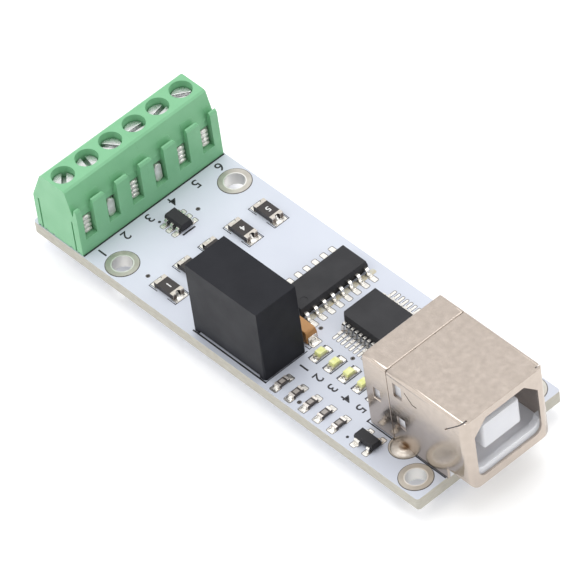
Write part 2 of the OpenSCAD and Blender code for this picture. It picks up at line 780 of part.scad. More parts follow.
// One contact's bent strip: along the tongue, then down through the board
module contact_path(row, side, grow = 0) {
    up = row == 0 ? -1 : 1;
    strip_z = tongue_z + up * (tongue_h / 2 - contact_t / 2);
    end_x = usb_x1 - tongue_setback - 0.8;
    w = contact_w + 2 * grow;
    t = contact_t + 2 * grow;
    low = grow > 0 ? -cut : -(board_t + pin_proud);
    translate([row_x[row] - t / 2, side * pin_gap_y / 2 - w / 2, low]) {
        cube([t, w, strip_z + t / 2 - low]);
    }
    translate([row_x[row] - t / 2, side * pin_gap_y / 2 - w / 2, strip_z - t / 2]) {
        cube([end_x + grow - row_x[row] + t / 2, w, t + (up > 0 ? 1 : 0) * (grow > 0 ? 1 : 0)]);
    }
}

module socket_contacts() {
    color("gold") translate([0, usb_y, top]) {
        for (row = [0, 1], side = [-1, 1]) contact_path(row, side);
    }
}

// A moulded case: open below, slightly narrower at the top
module drafted_block(l, w, h, draft) {
    intersection() {
        run_y(w, -w / 2) polygon([[-l / 2, 0], [l / 2, 0], [l / 2 - draft, h], [-l / 2 + draft, h]]);
        run_x(l, -l / 2) polygon([[-w / 2, 0], [w / 2, 0], [w / 2 - draft, h], [-w / 2 + draft, h]]);
        linear_extrude(h) translate([-l / 2, -w / 2]) round_outline(l, w, 0.35);
    }
}

module converter_case() {
    inner_l = dc_l - 2 * dc_wall;
    inner_w = dc_w - 2 * dc_wall;
    color("dimgray") translate([dc_x, dc_y, top]) difference() {
        drafted_block(dc_l, dc_w, dc_h, dc_draft);
        block(inner_l, inner_w, dc_h - dc_wall, [0, 0, -cut]);
        block(dc_l - 2 * dc_foot_l, dc_w + 1, dc_foot_h + cut, [0, 0, -cut]);
    }
}

module converter_potting() {
    inner_l = dc_l - 2 * dc_wall;
    inner_w = dc_w - 2 * dc_wall;
    color("black") difference() {
        block(inner_l, inner_w, dc_h - dc_wall - dc_potting_sunk - cut, [dc_x, dc_y, top + dc_potting_sunk]);
        at_converter_pins() block(dc_pin_w, dc_pin_w, dc_pin_inner, [0, 0, top]);
    }
}

module converter_pins() {
    color("silver") at_converter_pins() {
        block(dc_pin_w, dc_pin_w, board_t + pin_proud + dc_pin_inner, [0, 0, -pin_proud]);
    }
}

// A moulded chip body with a flat parting band at mid height
module chip_outline(w, h, draft) {
    mid = chip_rise + (h - chip_rise) / 2;
    polygon([
        [-w / 2 + draft, chip_rise], [w / 2 - draft, chip_rise],
        [w / 2, mid - foot_t / 2], [w / 2, mid + foot_t / 2], [w / 2 - draft, h],
        [-w / 2 + draft, h], [-w / 2, mid + foot_t / 2], [-w / 2, mid - foot_t / 2]
    ]);
}

// length runs along Y, width along X
module chip_body(l, w, h, draft = 0.12) {
    intersection() {
        run_y(l, -l / 2) chip_outline(w, h, draft);
        run_x(w, -w / 2) chip_outline(l, h, draft);
    }
}

// A gull-wing lead leaving the body at x = 0 towards +X
module gull_lead(reach, h, t, w) {
    mid = chip_rise + (h - chip_rise) / 2;
    foot = reach * 0.5;
    shoulder = reach * 0.3;
    run_y(w, -w / 2) polygon([
        [0, mid + t / 2], [shoulder, mid + t / 2], [shoulder + t, mid - t / 3], [reach - foot + t * 0.6, t],
        [reach, t], [reach, 0], [reach - foot, 0], [reach - foot - t * 0.4, t * 0.7],
        [shoulder - t * 0.2, mid - t / 2], [0, mid - t / 2]
    ]);
}

// Leads on both long sides of a chip whose length runs along Y
module lead_rows(count, step, body_w, span, h, t, w) {
    for (side = [0, 180], i = [0:count - 1]) rotate(side) {
        translate([body_w / 2, (i - (count - 1) / 2) * step, 0]) gull_lead((span - body_w) / 2, h, t, w);
    }
}

module isolator_body() {
    color("dimgray") translate([iso_x, iso_y, top]) difference() {
        chip_body(iso_l, iso_w, iso_h);
        // half-round end mark and shallow moulding mark
        translate([0, -iso_l / 2, iso_h - 0.1]) cylinder(h = 1, d = 1.1);
        translate([iso_w / 4, -iso_l / 2 + 1.3, iso_h - 0.06]) cylinder(h = 1, d = 0.9);
    }
}

module isolator_leads() {
    color("silver") translate([iso_x, iso_y, top]) {
        lead_rows(8, iso_pitch, iso_w, iso_span, iso_h, foot_t, 0.42);
    }
}

module bridge_body() {
    color("dimgray") translate([bridge_x, bridge_y, top]) rotate(90) difference() {
        chip_body(bridge_l, bridge_w, bridge_h, 0.15);
        // cut corner beside the first lead
        translate([-bridge_w / 2, bridge_l / 2, 0]) rotate(45) {
            block(2 * bridge_notch, 2 * bridge_notch, 2 * bridge_h, [0, 0, -cut]);
        }
    }
}

module bridge_leads() {
    color("silver") translate([bridge_x, bridge_y, top]) rotate(90) {
        lead_rows(14, bridge_pitch, bridge_w, bridge_span, bridge_h, 0.15, 0.36);
    }
}

module buffer_body() {
    color("dimgray") translate([buffer_x, buffer_y, top]) rotate(90) {
        chip_body(sot_l, buffer_w, buffer_h, 0.1);
    }
}

module buffer_leads() {
    color("silver") translate([buffer_x, buffer_y, top]) rotate(90) {
        lead_rows(3, 0.95, buffer_w, buffer_span, buffer_h, 0.15, 0.4);
    }
}

module guard_body() {
    color("dimgray") translate([guard_x, guard_y, top]) rotate(90) {
        chip_body(sot_l, guard_w, guard_h, 0.1);
    }
}

// Three narrow leads and one wide one
module guard_leads() {
    reach = (guard_span - guard_w) / 2;
    color("silver") translate([guard_x, guard_y, top]) rotate(90) {
        for (y = [-0.95, 0.95]) translate([guard_w / 2, y, 0]) gull_lead(reach, guard_h, 0.13, 0.42);
        rotate(180) {
            translate([guard_w / 2, 0.95, 0]) gull_lead(reach, guard_h, 0.13, 0.42);
            translate([guard_w / 2, -0.77, 0]) gull_lead(reach, guard_h, 0.13, 0.78);
        }
    }
}

// The moulded capacitor body between its two folded terminals
module tantalum_body() {
    color("sandybrown") translate([tant_x, tant_y, top]) intersection() {
        difference() {
            body_l = tant_l - 2 * tant_cap_t;
            run_y(tant_w, -tant_w / 2) polygon([
                [-body_l / 2, tant_cap_t], [body_l / 2, tant_cap_t], [body_l / 2, tant_h * 0.6],
                [body_l / 2 - 0.15, tant_h], [-body_l / 2 + 0.15, tant_h], [-body_l / 2, tant_h * 0.6]
            ]);
            // bevel of the positive end
            translate([body_l / 2, 0, tant_h]) rotate([0, 45, 0]) block(0.4, tant_w + 1, 0.4, [0, 0, -0.2]);
        }
        run_x(tant_l, -tant_l / 2) polygon([
            [-tant_w / 2, 0], [tant_w / 2, 0], [tant_w / 2, tant_h * 0.6],
            [tant_w / 2 - 0.1, tant_h], [-tant_w / 2 + 0.1, tant_h], [-tant_w / 2, tant_h * 0.6]
        ]);
    }
}

module tantalum_terminals() {
    color("silver") translate([tant_x, tant_y, top]) for (side = [0, 180]) rotate(side) {
        w = tant_w * 0.75;
        run_y(w, -w / 2) polygon([
            [tant_l / 2 - 0.8, 0], [tant_l / 2, 0], [tant_l / 2, tant_h * 0.55],
            [tant_l / 2 - tant_cap_t, tant_h * 0.55], [tant_l / 2 - tant_cap_t, tant_cap_t],
            [tant_l / 2 - 0.8, tant_cap_t]
        ]);
    }
}

// A flat chip part along X: its body ends inside the folded end caps
module chip_core(l, w, h) {
    block(l - 2 * cap_t, w, h - 2 * cap_t, [0, 0, cap_t]);
}

// The two metal end caps round a chip part's core
module chip_caps(l, w, h, cap_l) {
    difference() {
        block(l, w, h);
        block(l - 2 * cap_t, w + 1, h - 2 * cap_t, [0, 0, cap_t]);
        block(l - 2 * cap_l, w + 1, h + 1, [0, 0, -cut]);
    }
}

module fuse(i) {
    color("dimgray") translate([fuse_at(i)[0], fuse_at(i)[1], top]) difference() {
        chip_core(fuse_l, fuse_w, fuse_h);
        for (side = [-1, 1]) translate([side * fuse_l / 2, 0, -cut]) cylinder(h = fuse_h + 1, d = notch_d);
    }
}

module fuse_caps() {
    color("silver") for (i = [1:FUSES]) translate([fuse_at(i)[0], fuse_at(i)[1], top]) difference() {
        chip_caps(fuse_l, fuse_w, fuse_h, fuse_cap_l);
        for (side = [-1, 1]) translate([side * fuse_l / 2, 0, -cut]) cylinder(h = fuse_h + 1, d = notch_d);
    }
}

// A lamp's domed lens on its base
module lamp(i) {
    lens_l = lamp_l - 2 * lamp_end;
    color("khaki") translate([lamp_at(i), lamp_y, top + lamp_base_h]) intersection() {
        block(lamp_w, lens_l, lamp_h - lamp_base_h);
        run_x(lamp_w, -lamp_w / 2) polygon([
            [-lens_l / 2, 0], [lens_l / 2, 0], [lens_l / 2 - 0.1, lamp_h - lamp_base_h],
            [-lens_l / 2 + 0.1, lamp_h - lamp_base_h]
        ]);
    }
}

module lamp_bases() {
    color("ivory") for (i = [1:LAMPS]) translate([lamp_at(i), lamp_y, top]) difference() {
        block(lamp_w, lamp_l, lamp_base_h);
        for (side = [-1, 1]) translate([0, side * lamp_l / 2, -cut]) cylinder(h = 1, d = lamp_notch_d);
    }
}

module resistor(i) {
    color("dimgray") translate([lamp_at(i), res_y, top]) rotate(90) chip_core(res_l, res_w, res_h);
}

module resistor_caps() {
    color("silver") for (i = [1:LAMPS]) translate([lamp_at(i), res_y, top]) rotate(90) {
        chip_caps(res_l, res_w, res_h, res_cap_l);
    }
}

// One cone of solder under the board round a pin of the given section
module solder_cone(d, l, w) {
    difference() {
        mirror([0, 0, 1]) cylinder(h = pin_proud * 0.55, d1 = d, d2 = d * 0.6);
        block(l, w, 4, [0, 0, -3]);
    }
}

module pin_solder() {
    color("silver") {
        at_terminal_pins() solder_cone(2.2, term_pin_t, term_pin_w);
        at_converter_pins() solder_cone(1.7, dc_pin_w, dc_pin_w);
        at_socket_pins() solder_cone(1.8, contact_t, contact_w);
    }
}

board();
mount_rings();
terminal_housing_near();
terminal_housing_far();
terminal_screws();
for (i = [1:2 * poles]) terminal_cage(i);
terminal_leaves();
socket_shell();
socket_rear_cover();
socket_insert();
socket_contacts();
tab_rings();
tab_solder();
converter_case();
converter_potting();
converter_pins();
isolator_body();
isolator_leads();
bridge_body();
bridge_leads();
buffer_body();
buffer_leads();
guard_body();
guard_leads();
tantalum_body();
tantalum_terminals();
pin_solder();
for (i = [1:FUSES]) fuse(i);
fuse_caps();
for (i = [1:LAMPS]) lamp(i);
lamp_bases();
for (i = [1:LAMPS]) resistor(i);
resistor_caps();
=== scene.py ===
import math

import bmesh
import bpy
from mathutils import Matrix, Quaternion, Vector


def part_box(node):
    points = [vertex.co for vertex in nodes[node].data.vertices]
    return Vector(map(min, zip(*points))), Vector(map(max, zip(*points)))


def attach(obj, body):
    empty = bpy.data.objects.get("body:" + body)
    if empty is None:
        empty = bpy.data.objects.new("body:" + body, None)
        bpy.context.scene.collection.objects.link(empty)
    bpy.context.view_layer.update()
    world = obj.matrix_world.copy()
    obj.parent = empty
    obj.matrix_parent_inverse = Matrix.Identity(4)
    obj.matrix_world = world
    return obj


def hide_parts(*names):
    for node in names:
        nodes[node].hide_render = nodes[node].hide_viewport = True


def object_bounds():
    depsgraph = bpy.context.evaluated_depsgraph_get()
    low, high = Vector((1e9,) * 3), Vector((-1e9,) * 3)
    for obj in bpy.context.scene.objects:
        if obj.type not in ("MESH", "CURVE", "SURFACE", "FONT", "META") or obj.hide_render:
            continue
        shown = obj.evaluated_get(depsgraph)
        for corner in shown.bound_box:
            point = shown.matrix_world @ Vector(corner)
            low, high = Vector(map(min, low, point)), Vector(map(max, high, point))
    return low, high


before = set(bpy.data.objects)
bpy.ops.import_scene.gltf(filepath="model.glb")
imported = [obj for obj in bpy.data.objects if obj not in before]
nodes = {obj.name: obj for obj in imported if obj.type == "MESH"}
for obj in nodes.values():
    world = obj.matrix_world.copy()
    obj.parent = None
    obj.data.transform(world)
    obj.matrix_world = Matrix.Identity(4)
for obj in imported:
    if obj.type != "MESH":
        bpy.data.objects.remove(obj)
cad_low, cad_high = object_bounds()
MM = 0.001


# Table and daylight
# The module lies on a plain white table that glows a little, as a light table does. Soft lamps
# stand over the near long edge and the socket end, and one hangs above. The room is pale, and
# brighter behind the module.
def screen_colour(red, green, blue):
    """A colour as a screen shows it, from 0 to 255, as linear light."""
    def linear(value):
        share = value / 255
        return share / 12.92 if share <= 0.04045 else ((share + 0.055) / 1.055) ** 2.4
    return (linear(red), linear(green), linear(blue), 1.0)


def new_material(name, colour, roughness=0.5, metallic=0.0):
    """A material with its shader's own colour, roughness and metal set."""
    material = bpy.data.materials.new(name)
    material.use_nodes = True
    shader = material.node_tree.nodes["Principled BSDF"]
    shader.inputs["Base Color"].default_value = colour
    shader.inputs["Roughness"].default_value = roughness
    shader.inputs["Metallic"].default_value = metallic
    return material, material.node_tree, shader


def new_piece(name, shape):
    """A piece of that name from a finished shape."""
    mesh = bpy.data.meshes.new(name)
    shape.to_mesh(mesh)
    shape.free()
    piece = bpy.data.objects.new(name, mesh)
    bpy.context.scene.collection.objects.link(piece)
    return piece


TABLE_SIZE = 6.0
TABLE_COLOUR = screen_colour(253, 253, 253)
TABLE_GLOW = 0.15
table_bm = bmesh.new()
bmesh.ops.create_grid(table_bm, x_segments=1, y_segments=1, size=TABLE_SIZE / 2)
bmesh.ops.translate(table_bm, verts=table_bm.verts, vec=(0, 0, cad_low.z))
table = new_piece("table", table_bm)
table_paint, _, shader = new_material("table_paint", TABLE_COLOUR, roughness=0.6)
shader.inputs["Emission Color"].default_value = TABLE_COLOUR
shader.inputs["Emission Strength"].default_value = TABLE_GLOW
table.data.materials.append(table_paint)

WINDOW_SIDE = (-0.62, 0.45, 0.64)
DIM_SIDE, BRIGHT_SIDE = 0.42, 1.05
DIM_FROM, BRIGHT_FROM = -0.5, 0.9
world = bpy.data.worlds.new("room")
bpy.context.scene.world = world
world.use_nodes = True
room_tree = world.node_tree
room_tree.nodes["Background"].inputs["Color"].default_value = (1.0, 1.0, 1.0, 1.0)
direction = room_tree.nodes.new("ShaderNodeTexCoord")
towards_window = room_tree.nodes.new("ShaderNodeVectorMath")
towards_window.operation = "DOT_PRODUCT"
towards_window.inputs[1].default_value = WINDOW_SIDE
room_tree.links.new(direction.outputs["Generated"], towards_window.inputs[0])
fall_off = room_tree.nodes.new("ShaderNodeMapRange")
fall_off.inputs["From Min"].default_value = DIM_FROM
fall_off.inputs["From Max"].default_value = BRIGHT_FROM
fall_off.inputs["To Min"].default_value = DIM_SIDE
fall_off.inputs["To Max"].default_value = BRIGHT_SIDE
room_tree.links.new(towards_window.outputs["Value"], fall_off.inputs["Value"])
room_tree.links.new(fall_off.outputs["Result"], room_tree.nodes["Background"].inputs["Strength"])


def soft_lamp(name, place, size, watts):
    """A square lamp of that size and power, facing the module."""
    lamp = bpy.data.lights.new(name, "AREA")
    lamp.size = size
    lamp.energy = watts
    holder = bpy.data.objects.new(name, lamp)
    holder.location = place
    holder.rotation_mode = "QUATERNION"
    holder.rotation_quaternion = (-Vector(place)).to_track_quat("-Z", "Y")
    bpy.context.scene.collection.objects.link(holder)


soft_lamp("near_lamp", (-0.22, -0.62, 0.34), 0.9, 1.7)
soft_lamp("top_lamp", (-0.15, 0.12, 0.75), 0.5, 2.0)
soft_lamp("end_lamp", (0.52, 0.26, 0.38), 0.3, 0.9)
bpy.context.scene.view_settings.view_transform = "Standard"


# Camera
# It looks down over the socket end and the near long edge, through a long lens a good arm's
# length away, and leans a little to the left.
AZIMUTH, ELEVATION, LEAN = (math.radians(angle) for angle in (53.62, 46.13, -8.80))
AIM = Vector((-4.08, -0.71, 5.0)) * MM
DISTANCE = 807.1 * MM
LENS = 462.9
camera_back = Vector((
    math.sin(AZIMUTH) * math.cos(ELEVATION),
    -math.cos(AZIMUTH) * math.cos(ELEVATION),
    math.sin(ELEVATION),
))
camera_lens = bpy.data.cameras.new("camera")
camera_lens.lens = LENS
camera_lens.clip_start = 0.05
camera = bpy.data.objects.new("camera", camera_lens)
camera.location = AIM + DISTANCE * camera_back
camera.rotation_mode = "QUATERNION"
upright = (-camera_back).to_track_quat("-Z", "Y")
camera.rotation_quaternion = Quaternion(camera_back, LEAN) @ upright
bpy.context.scene.collection.objects.link(camera)
bpy.context.scene.camera = camera


# Board
# A plate of woven glass and epoxy, cut with a router, under a white solder mask on both faces.
# The cut edge shows the beige core with its glass layers.
def object_point(tree, scale=(1.0, 1.0, 1.0)):
    """The place on the object, stretched by scale, as a texture's vector."""
    place = tree.nodes.new("ShaderNodeTexCoord")
    stretch = tree.nodes.new("ShaderNodeMapping")
    stretch.inputs["Scale"].default_value = scale
    tree.links.new(place.outputs["Object"], stretch.inputs["Vector"])
    return stretch.outputs["Vector"]


def noise(tree, size, detail=2.0, scale=(1.0, 1.0, 1.0)):
    """A noise whose blotches are about size metres across."""
    texture = tree.nodes.new("ShaderNodeTexNoise")
    texture.inputs["Scale"].default_value = 1 / size
    texture.inputs["Detail"].default_value = detail
    tree.links.new(object_point(tree, scale), texture.inputs["Vector"])
    return texture.outputs["Fac"]


def ramp(tree, value, low, high, from_low=0.3, from_high=0.7):
    """A value spread from from_low..from_high onto low..high."""
    spread = tree.nodes.new("ShaderNodeMapRange")
    spread.inputs["From Min"].default_value = from_low
    spread.inputs["From Max"].default_value = from_high
    spread.inputs["To Min"].default_value = low
    spread.inputs["To Max"].default_value = high
    tree.links.new(value, spread.inputs["Value"])
    return spread.outputs["Result"]


def two_colours(tree, value, first, second):
    """A colour that goes from first to second as value goes from 0 to 1. Either may be a link."""
    mix = tree.nodes.new("ShaderNodeMix")
    mix.data_type = "RGBA"
    for socket, colour in (("A", first), ("B", second)):
        if isinstance(colour, tuple):
            mix.inputs[socket].default_value = colour
        else:
            tree.links.new(colour, mix.inputs[socket])
    tree.links.new(value, mix.inputs["Factor"])
    return mix.outputs["Result"]


def bumps(tree, shader, value, height):
    """Raises the surface by value times height metres."""
    bump = tree.nodes.new("ShaderNodeBump")
    bump.inputs["Distance"].default_value = height
    tree.links.new(value, bump.inputs["Height"])
    tree.links.new(bump.outputs["Normal"], shader.inputs["Normal"])


def dress(material, *names):
    """Gives CAD nodes a material."""
    for name in names:
        nodes[name].material_slots[0].material = material


def round_edges(width, *pieces, angle=35):
    """Rounds the sharp edges of pieces by width metres, as the moulds and dies do."""
    for piece in pieces:
        weld = piece.modifiers.new("weld", "WELD")
        weld.merge_threshold = 0.002 * MM
        flat = piece.modifiers.new("flat", "DECIMATE")
        flat.decimate_type = "DISSOLVE"
        flat.angle_limit = math.radians(0.5)
        bevel = piece.modifiers.new("round", "BEVEL")
        bevel.width = width
        bevel.segments = 2
        bevel.limit_method = "ANGLE"
        bevel.angle_limit = math.radians(angle)
        bevel.harden_normals = True


def soften(width, *names, angle=35):
    """Rounds the sharp edges of CAD nodes."""
    round_edges(width, *[nodes[name] for name in names], angle=angle)


MASK_WHITE, MASK_BLUE = screen_colour(208, 213, 224), screen_colour(203, 208, 220)
CORE_BEIGE, CORE_OLIVE = screen_colour(196, 193, 183), screen_colour(176, 172, 160)
MASK_GLOSS, CORE_GLOSS = 0.3, 0.75
board_paint, tree, shader = new_material("board_mask_and_core", MASK_WHITE, roughness=0.32)
facing = tree.nodes.new("ShaderNodeNewGeometry")
split = tree.nodes.new("ShaderNodeSeparateXYZ")
tree.links.new(facing.outputs["Normal"], split.inputs["Vector"])
upward = tree.nodes.new("ShaderNodeMath")
upward.operation = "ABSOLUTE"
tree.links.new(split.outputs["Z"], upward.inputs[0])
is_mask = ramp(tree, upward.outputs["Value"], 0.0, 1.0, from_low=0.55, from_high=0.65)
glass_layers = ramp(tree, noise(tree, 0.9 * MM, detail=4.0, scale=(1.0, 1.0, 9.0)), 0.0, 1.0)
core = two_colours(tree, glass_layers, CORE_BEIGE, CORE_OLIVE)
mask = two_colours(tree, ramp(tree, noise(tree, 7 * MM), 0.0, 1.0), MASK_WHITE, MASK_BLUE)
tree.links.new(two_colours(tree, is_mask, core, mask), shader.inputs["Base Color"])
tree.links.new(ramp(tree, is_mask, CORE_GLOSS, MASK_GLOSS, 0.0, 1.0), shader.inputs["Roughness"])
bumps(tree, shader, noise(tree, 0.35 * MM, detail=3.0), 0.004 * MM)
dress(board_paint, "board")
soften(0.06 * MM, "board", angle=60)

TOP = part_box("board")[1].z


# Printed lines and numbers
# Black ink, screen printed on the mask: a foot line along the terminals, brackets round the
# fuses, frames round the lamps, the converter's and the socket's outlines, marks beside small
# parts, and plain numbers.
INK = 0.012 * MM
ink_bm = bmesh.new()


def ink_bar(x0, y0, x1, y1):
    """A printed bar between two corners, in millimetres."""
    low = Vector((min(x0, x1) * MM, min(y0, y1) * MM, TOP - INK))
    high = Vector((max(x0, x1) * MM, max(y0, y1) * MM, TOP + INK))
    bar = bmesh.ops.create_cube(ink_bm, size=1.0)["verts"]
    bmesh.ops.scale(ink_bm, vec=high - low, verts=bar)
    bmesh.ops.translate(ink_bm, vec=(low + high) / 2, verts=bar)


def ink_line(points, width):
    """A printed line through points, with square ends."""
    half = width / 2
    for (x0, y0), (x1, y1) in zip(points, points[1:]):
        ink_bar(min(x0, x1) - half, min(y0, y1) - half, max(x0, x1) + half, max(y0, y1) + half)


def ink_dot(x, y, size):
    """A printed round dot."""
    place = Matrix.Translation((x * MM, y * MM, TOP))
    radius = size * MM / 2
    bmesh.ops.create_cone(
        ink_bm, cap_ends=True, segments=24, radius1=radius, radius2=radius, depth=2 * INK, matrix=place)


FOOT_LINE_UNDER, FOOT_LINE_OUT, FOOT_LINE_END = 0.02, 0.2, 10.5
housing_low, housing_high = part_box("terminal_housing_near")
foot_x = housing_high.x / MM
ink_bar(foot_x - FOOT_LINE_UNDER, -FOOT_LINE_END, foot_x + FOOT_LINE_OUT, FOOT_LINE_END)

SOCKET_LINE_Y, SOCKET_LINE_WIDTH = -6.37, 0.14
SOCKET_LINE_X, BEFORE_TAB, AFTER_TAB, SOCKET_LINE_END = 13.77, 17.65, 21.2, 25.9
CORNER_LINE_Y, CORNER_LINE_WIDTH = -5.9, 0.2
ink_line([(SOCKET_LINE_X, SOCKET_LINE_Y), (BEFORE_TAB, SOCKET_LINE_Y)], SOCKET_LINE_WIDTH)
ink_line([(AFTER_TAB, SOCKET_LINE_Y), (SOCKET_LINE_END, SOCKET_LINE_Y)], SOCKET_LINE_WIDTH)
ink_line([(SOCKET_LINE_X, SOCKET_LINE_Y), (SOCKET_LINE_X, CORNER_LINE_Y)], CORNER_LINE_WIDTH)

CASE_GAP_X, CASE_GAP_Y, CASE_NEAR_WIDTH, CASE_END_WIDTH = 0.1, 0.12, 0.2, 0.12
case_low, case_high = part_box("converter_case")
near_y, end_x = case_low.y / MM - CASE_GAP_Y, case_high.x / MM + CASE_GAP_X
ink_line([(case_low.x / MM + CASE_GAP_X, near_y), (end_x, near_y)], CASE_NEAR_WIDTH)
ink_line([(end_x, near_y), (end_x, case_high.y / MM)], CASE_END_WIDTH)

BRACKET_LENGTH, BRACKET_REACH, BRACKET_SIDE, BRACKET_WIDTH = 1.3, 0.62, 0.26, 0.09
for index in range(1, 6):
    low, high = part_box(f"fuse_{index}")
    y0, y1 = low.y / MM - BRACKET_SIDE, high.y / MM + BRACKET_SIDE
    for end_x, inward in ((low.x / MM - BRACKET_REACH, 1), (high.x / MM + BRACKET_REACH, -1)):
        inner_x = end_x + inward * BRACKET_LENGTH
        ink_line([(inner_x, y0), (end_x, y0), (end_x, y1), (inner_x, y1)], BRACKET_WIDTH)

BUFFER_LINE_GAP, BUFFER_LINE_WIDTH = 0.2, 0.24
low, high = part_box("buffer_body")
buffer_line_x = high.x / MM + BUFFER_LINE_GAP
ink_line([(buffer_line_x, low.y / MM), (buffer_line_x, high.y / MM)], BUFFER_LINE_WIDTH)
FIRST_LEAD_DOTS, DOT_SIZE = ((-25.17, -1.38), (13.82, -9.35)), 0.36
for x, y in FIRST_LEAD_DOTS:
    ink_dot(x, y, DOT_SIZE)

FRAME_SIDE, FRAME_NEAR, FRAME_FAR, FRAME_WIDTH = 0.22, 0.66, 0.58, 0.12
for index in range(1, 6):
    low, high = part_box(f"lamp_{index}")
    x0, x1 = low.x / MM - FRAME_SIDE, high.x / MM + FRAME_SIDE
    y0, y1 = low.y / MM - FRAME_NEAR, high.y / MM + FRAME_FAR
    ink_line([(x0, y0), (x1, y0), (x1, y1), (x0, y1), (x0, y0)], FRAME_WIDTH)

ANGLE_OUT_X, ANGLE_OUT_Y, ANGLE_LENGTH, ANGLE_WIDTH = 0.62, 0.25, 0.7, 0.1
low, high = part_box("tantalum_body")
x, y = high.x / MM + ANGLE_OUT_X, low.y / MM - ANGLE_OUT_Y
ink_line([(x - ANGLE_LENGTH, y), (x, y), (x, y + ANGLE_LENGTH)], ANGLE_WIDTH)

printed_lines = new_piece("printed_lines", ink_bm)
INK_BLACK, INK_WORN = screen_colour(26, 26, 30), screen_colour(48, 48, 54)
ink_paint, tree, shader = new_material("printing_ink", INK_BLACK, roughness=0.45)
worn = two_colours(tree, ramp(tree, noise(tree, 0.25 * MM), 0.0, 1.0), INK_BLACK, INK_WORN)
tree.links.new(worn, shader.inputs["Base Color"])
printed_lines.data.materials.append(ink_paint)
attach(printed_lines, "root")

BOLDNESS = 0.015 * MM
LETTER_SIZE_PER_HEIGHT = 1.38
TOP_TOWARDS_SOCKET = Matrix.Rotation(math.radians(-90), 4, "Z")


def printed_number(name, text, x, y, height, ink, z=TOP):
    """A plain number, printed with its top towards the socket end, as one flat piece."""
    letters = bpy.data.curves.new(name, "FONT")
    letters.body = text
    letters.size = height * MM * LETTER_SIZE_PER_HEIGHT
    letters.align_x = "CENTER"
    letters.align_y = "CENTER"
    letters.extrude = INK
    letters.offset = BOLDNESS
    letters.resolution_u = 4
    writing = bpy.data.objects.new(name + "_writing", letters)
    bpy.context.scene.collection.objects.link(writing)
    bpy.context.view_layer.update()
    finished = writing.evaluated_get(bpy.context.evaluated_depsgraph_get())
    mesh = bpy.data.meshes.new_from_object(finished)
    bpy.data.objects.remove(writing)
    mesh.transform(Matrix.Translation((x * MM, y * MM, z)) @ TOP_TOWARDS_SOCKET)
    mesh.name = name
    mesh.materials.clear()
    mesh.materials.append(ink)
    piece = bpy.data.objects.new(name, mesh)
    bpy.context.scene.collection.objects.link(piece)
    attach(piece, "root")


NUMBER_HEIGHT, TERMINAL_NUMBER_X, LAMP_NUMBER_Y = 1.35, -26.5, -5.6
for index in range(1, 7):
    low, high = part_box(f"terminal_cage_{index}")
    y = (low.y + high.y) / 2 / MM
    printed_number(f"terminal_number_{index}", str(index), TERMINAL_NUMBER_X, y, NUMBER_HEIGHT, ink_paint)
for index in range(1, 6):
    low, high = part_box(f"lamp_{index}")
    x = (low.x + high.x) / 2 / MM
    printed_number(f"lamp_number_{index}", str(index), x, LAMP_NUMBER_Y, NUMBER_HEIGHT, ink_paint)


# Dried flux
# A thin tan film that the solder paste left on the mask beside the isolator's body, between its
# leads on the socket side.
def slab(bm, x, y, length, width, corner, height):
    """A flat slab with round corners, half sunk in the board's top, in millimetres."""
    radius = min(corner, length / 2, width / 2)
    outline = []
    for quarter, (sx, sy) in enumerate(((1, 1), (-1, 1), (-1, -1), (1, -1))):
        for step in range(5):
            turn = math.radians(90 * quarter + 22.5 * step)
            outline.append((
                x + sx * (length / 2 - radius) + radius * math.cos(turn),
                y + sy * (width / 2 - radius) + radius * math.sin(turn),
            ))
    lower = [bm.verts.new((px * MM, py * MM, TOP - height)) for px, py in outline]
    upper = [bm.verts.new((px * MM, py * MM, TOP + height)) for px, py in outline]
    bm.faces.new(upper)
    bm.faces.new(lower[::-1])
    for this in range(len(outline)):
        following = (this + 1) % len(outline)
        bm.faces.new((lower[this], lower[following], upper[following], upper[this]))


ISOLATOR_PITCH = 1.27
FLUX_PATCHES, FLUX_OUT, FLUX_LENGTH, FLUX_WIDTH, FLUX_CORNER = 9, 0.42, 0.75, 0.78, 0.2
FLUX_PROUD = 0.02 * MM
flux_bm = bmesh.new()
lead_low, lead_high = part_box("isolator_leads")
body_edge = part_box("isolator_body")[1].x / MM
for patch in range(FLUX_PATCHES):
    y = (lead_low.y + lead_high.y) / 2 / MM + (patch - (FLUX_PATCHES - 1) / 2) * ISOLATOR_PITCH
    slab(flux_bm, body_edge + FLUX_OUT, y, FLUX_LENGTH, FLUX_WIDTH, FLUX_CORNER, FLUX_PROUD)
flux_film = new_piece("flux_film", flux_bm)
FLUX_TAN, FLUX_PALE = screen_colour(196, 184, 150), screen_colour(208, 208, 200)
flux_paint, tree, shader = new_material("dried_flux", FLUX_TAN, roughness=0.3)
drying = two_colours(tree, ramp(tree, noise(tree, 0.5 * MM), 0.0, 1.0), FLUX_TAN, FLUX_PALE)
tree.links.new(drying, shader.inputs["Base Color"])
flux_film.data.materials.append(flux_paint)
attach(flux_film, "root")


# Pads, solder and shaded bare lines
# Tinned copper pads, a little proud of the mask, with the solder drawn up in smooth slopes
# against the ends of the parts. The mask stops short of each pad and ring, which leaves a line
# of bare board. The line is painted dark, as painted shade round the pads and rings.
PAD = 0.035 * MM
BARE = 0.014 * MM
BARE_EDGE = 0.07
PAD_CORNER = 0.12
pad_bm = bmesh.new()
bare_bm = bmesh.new()


def pad(x, y, length, width):
    """A tinned pad in its line of bare board. The line is painted dark as shade round the pad, and is wider
    towards the terminals and the far edge.
    """
    slab(pad_bm, x, y, length, width, PAD_CORNER, PAD)
    slip, grow = BARE_EDGE / 3, 2 * BARE_EDGE
    slab(bare_bm, x - slip, y + slip, length + grow, width + grow, PAD_CORNER + BARE_EDGE, BARE)


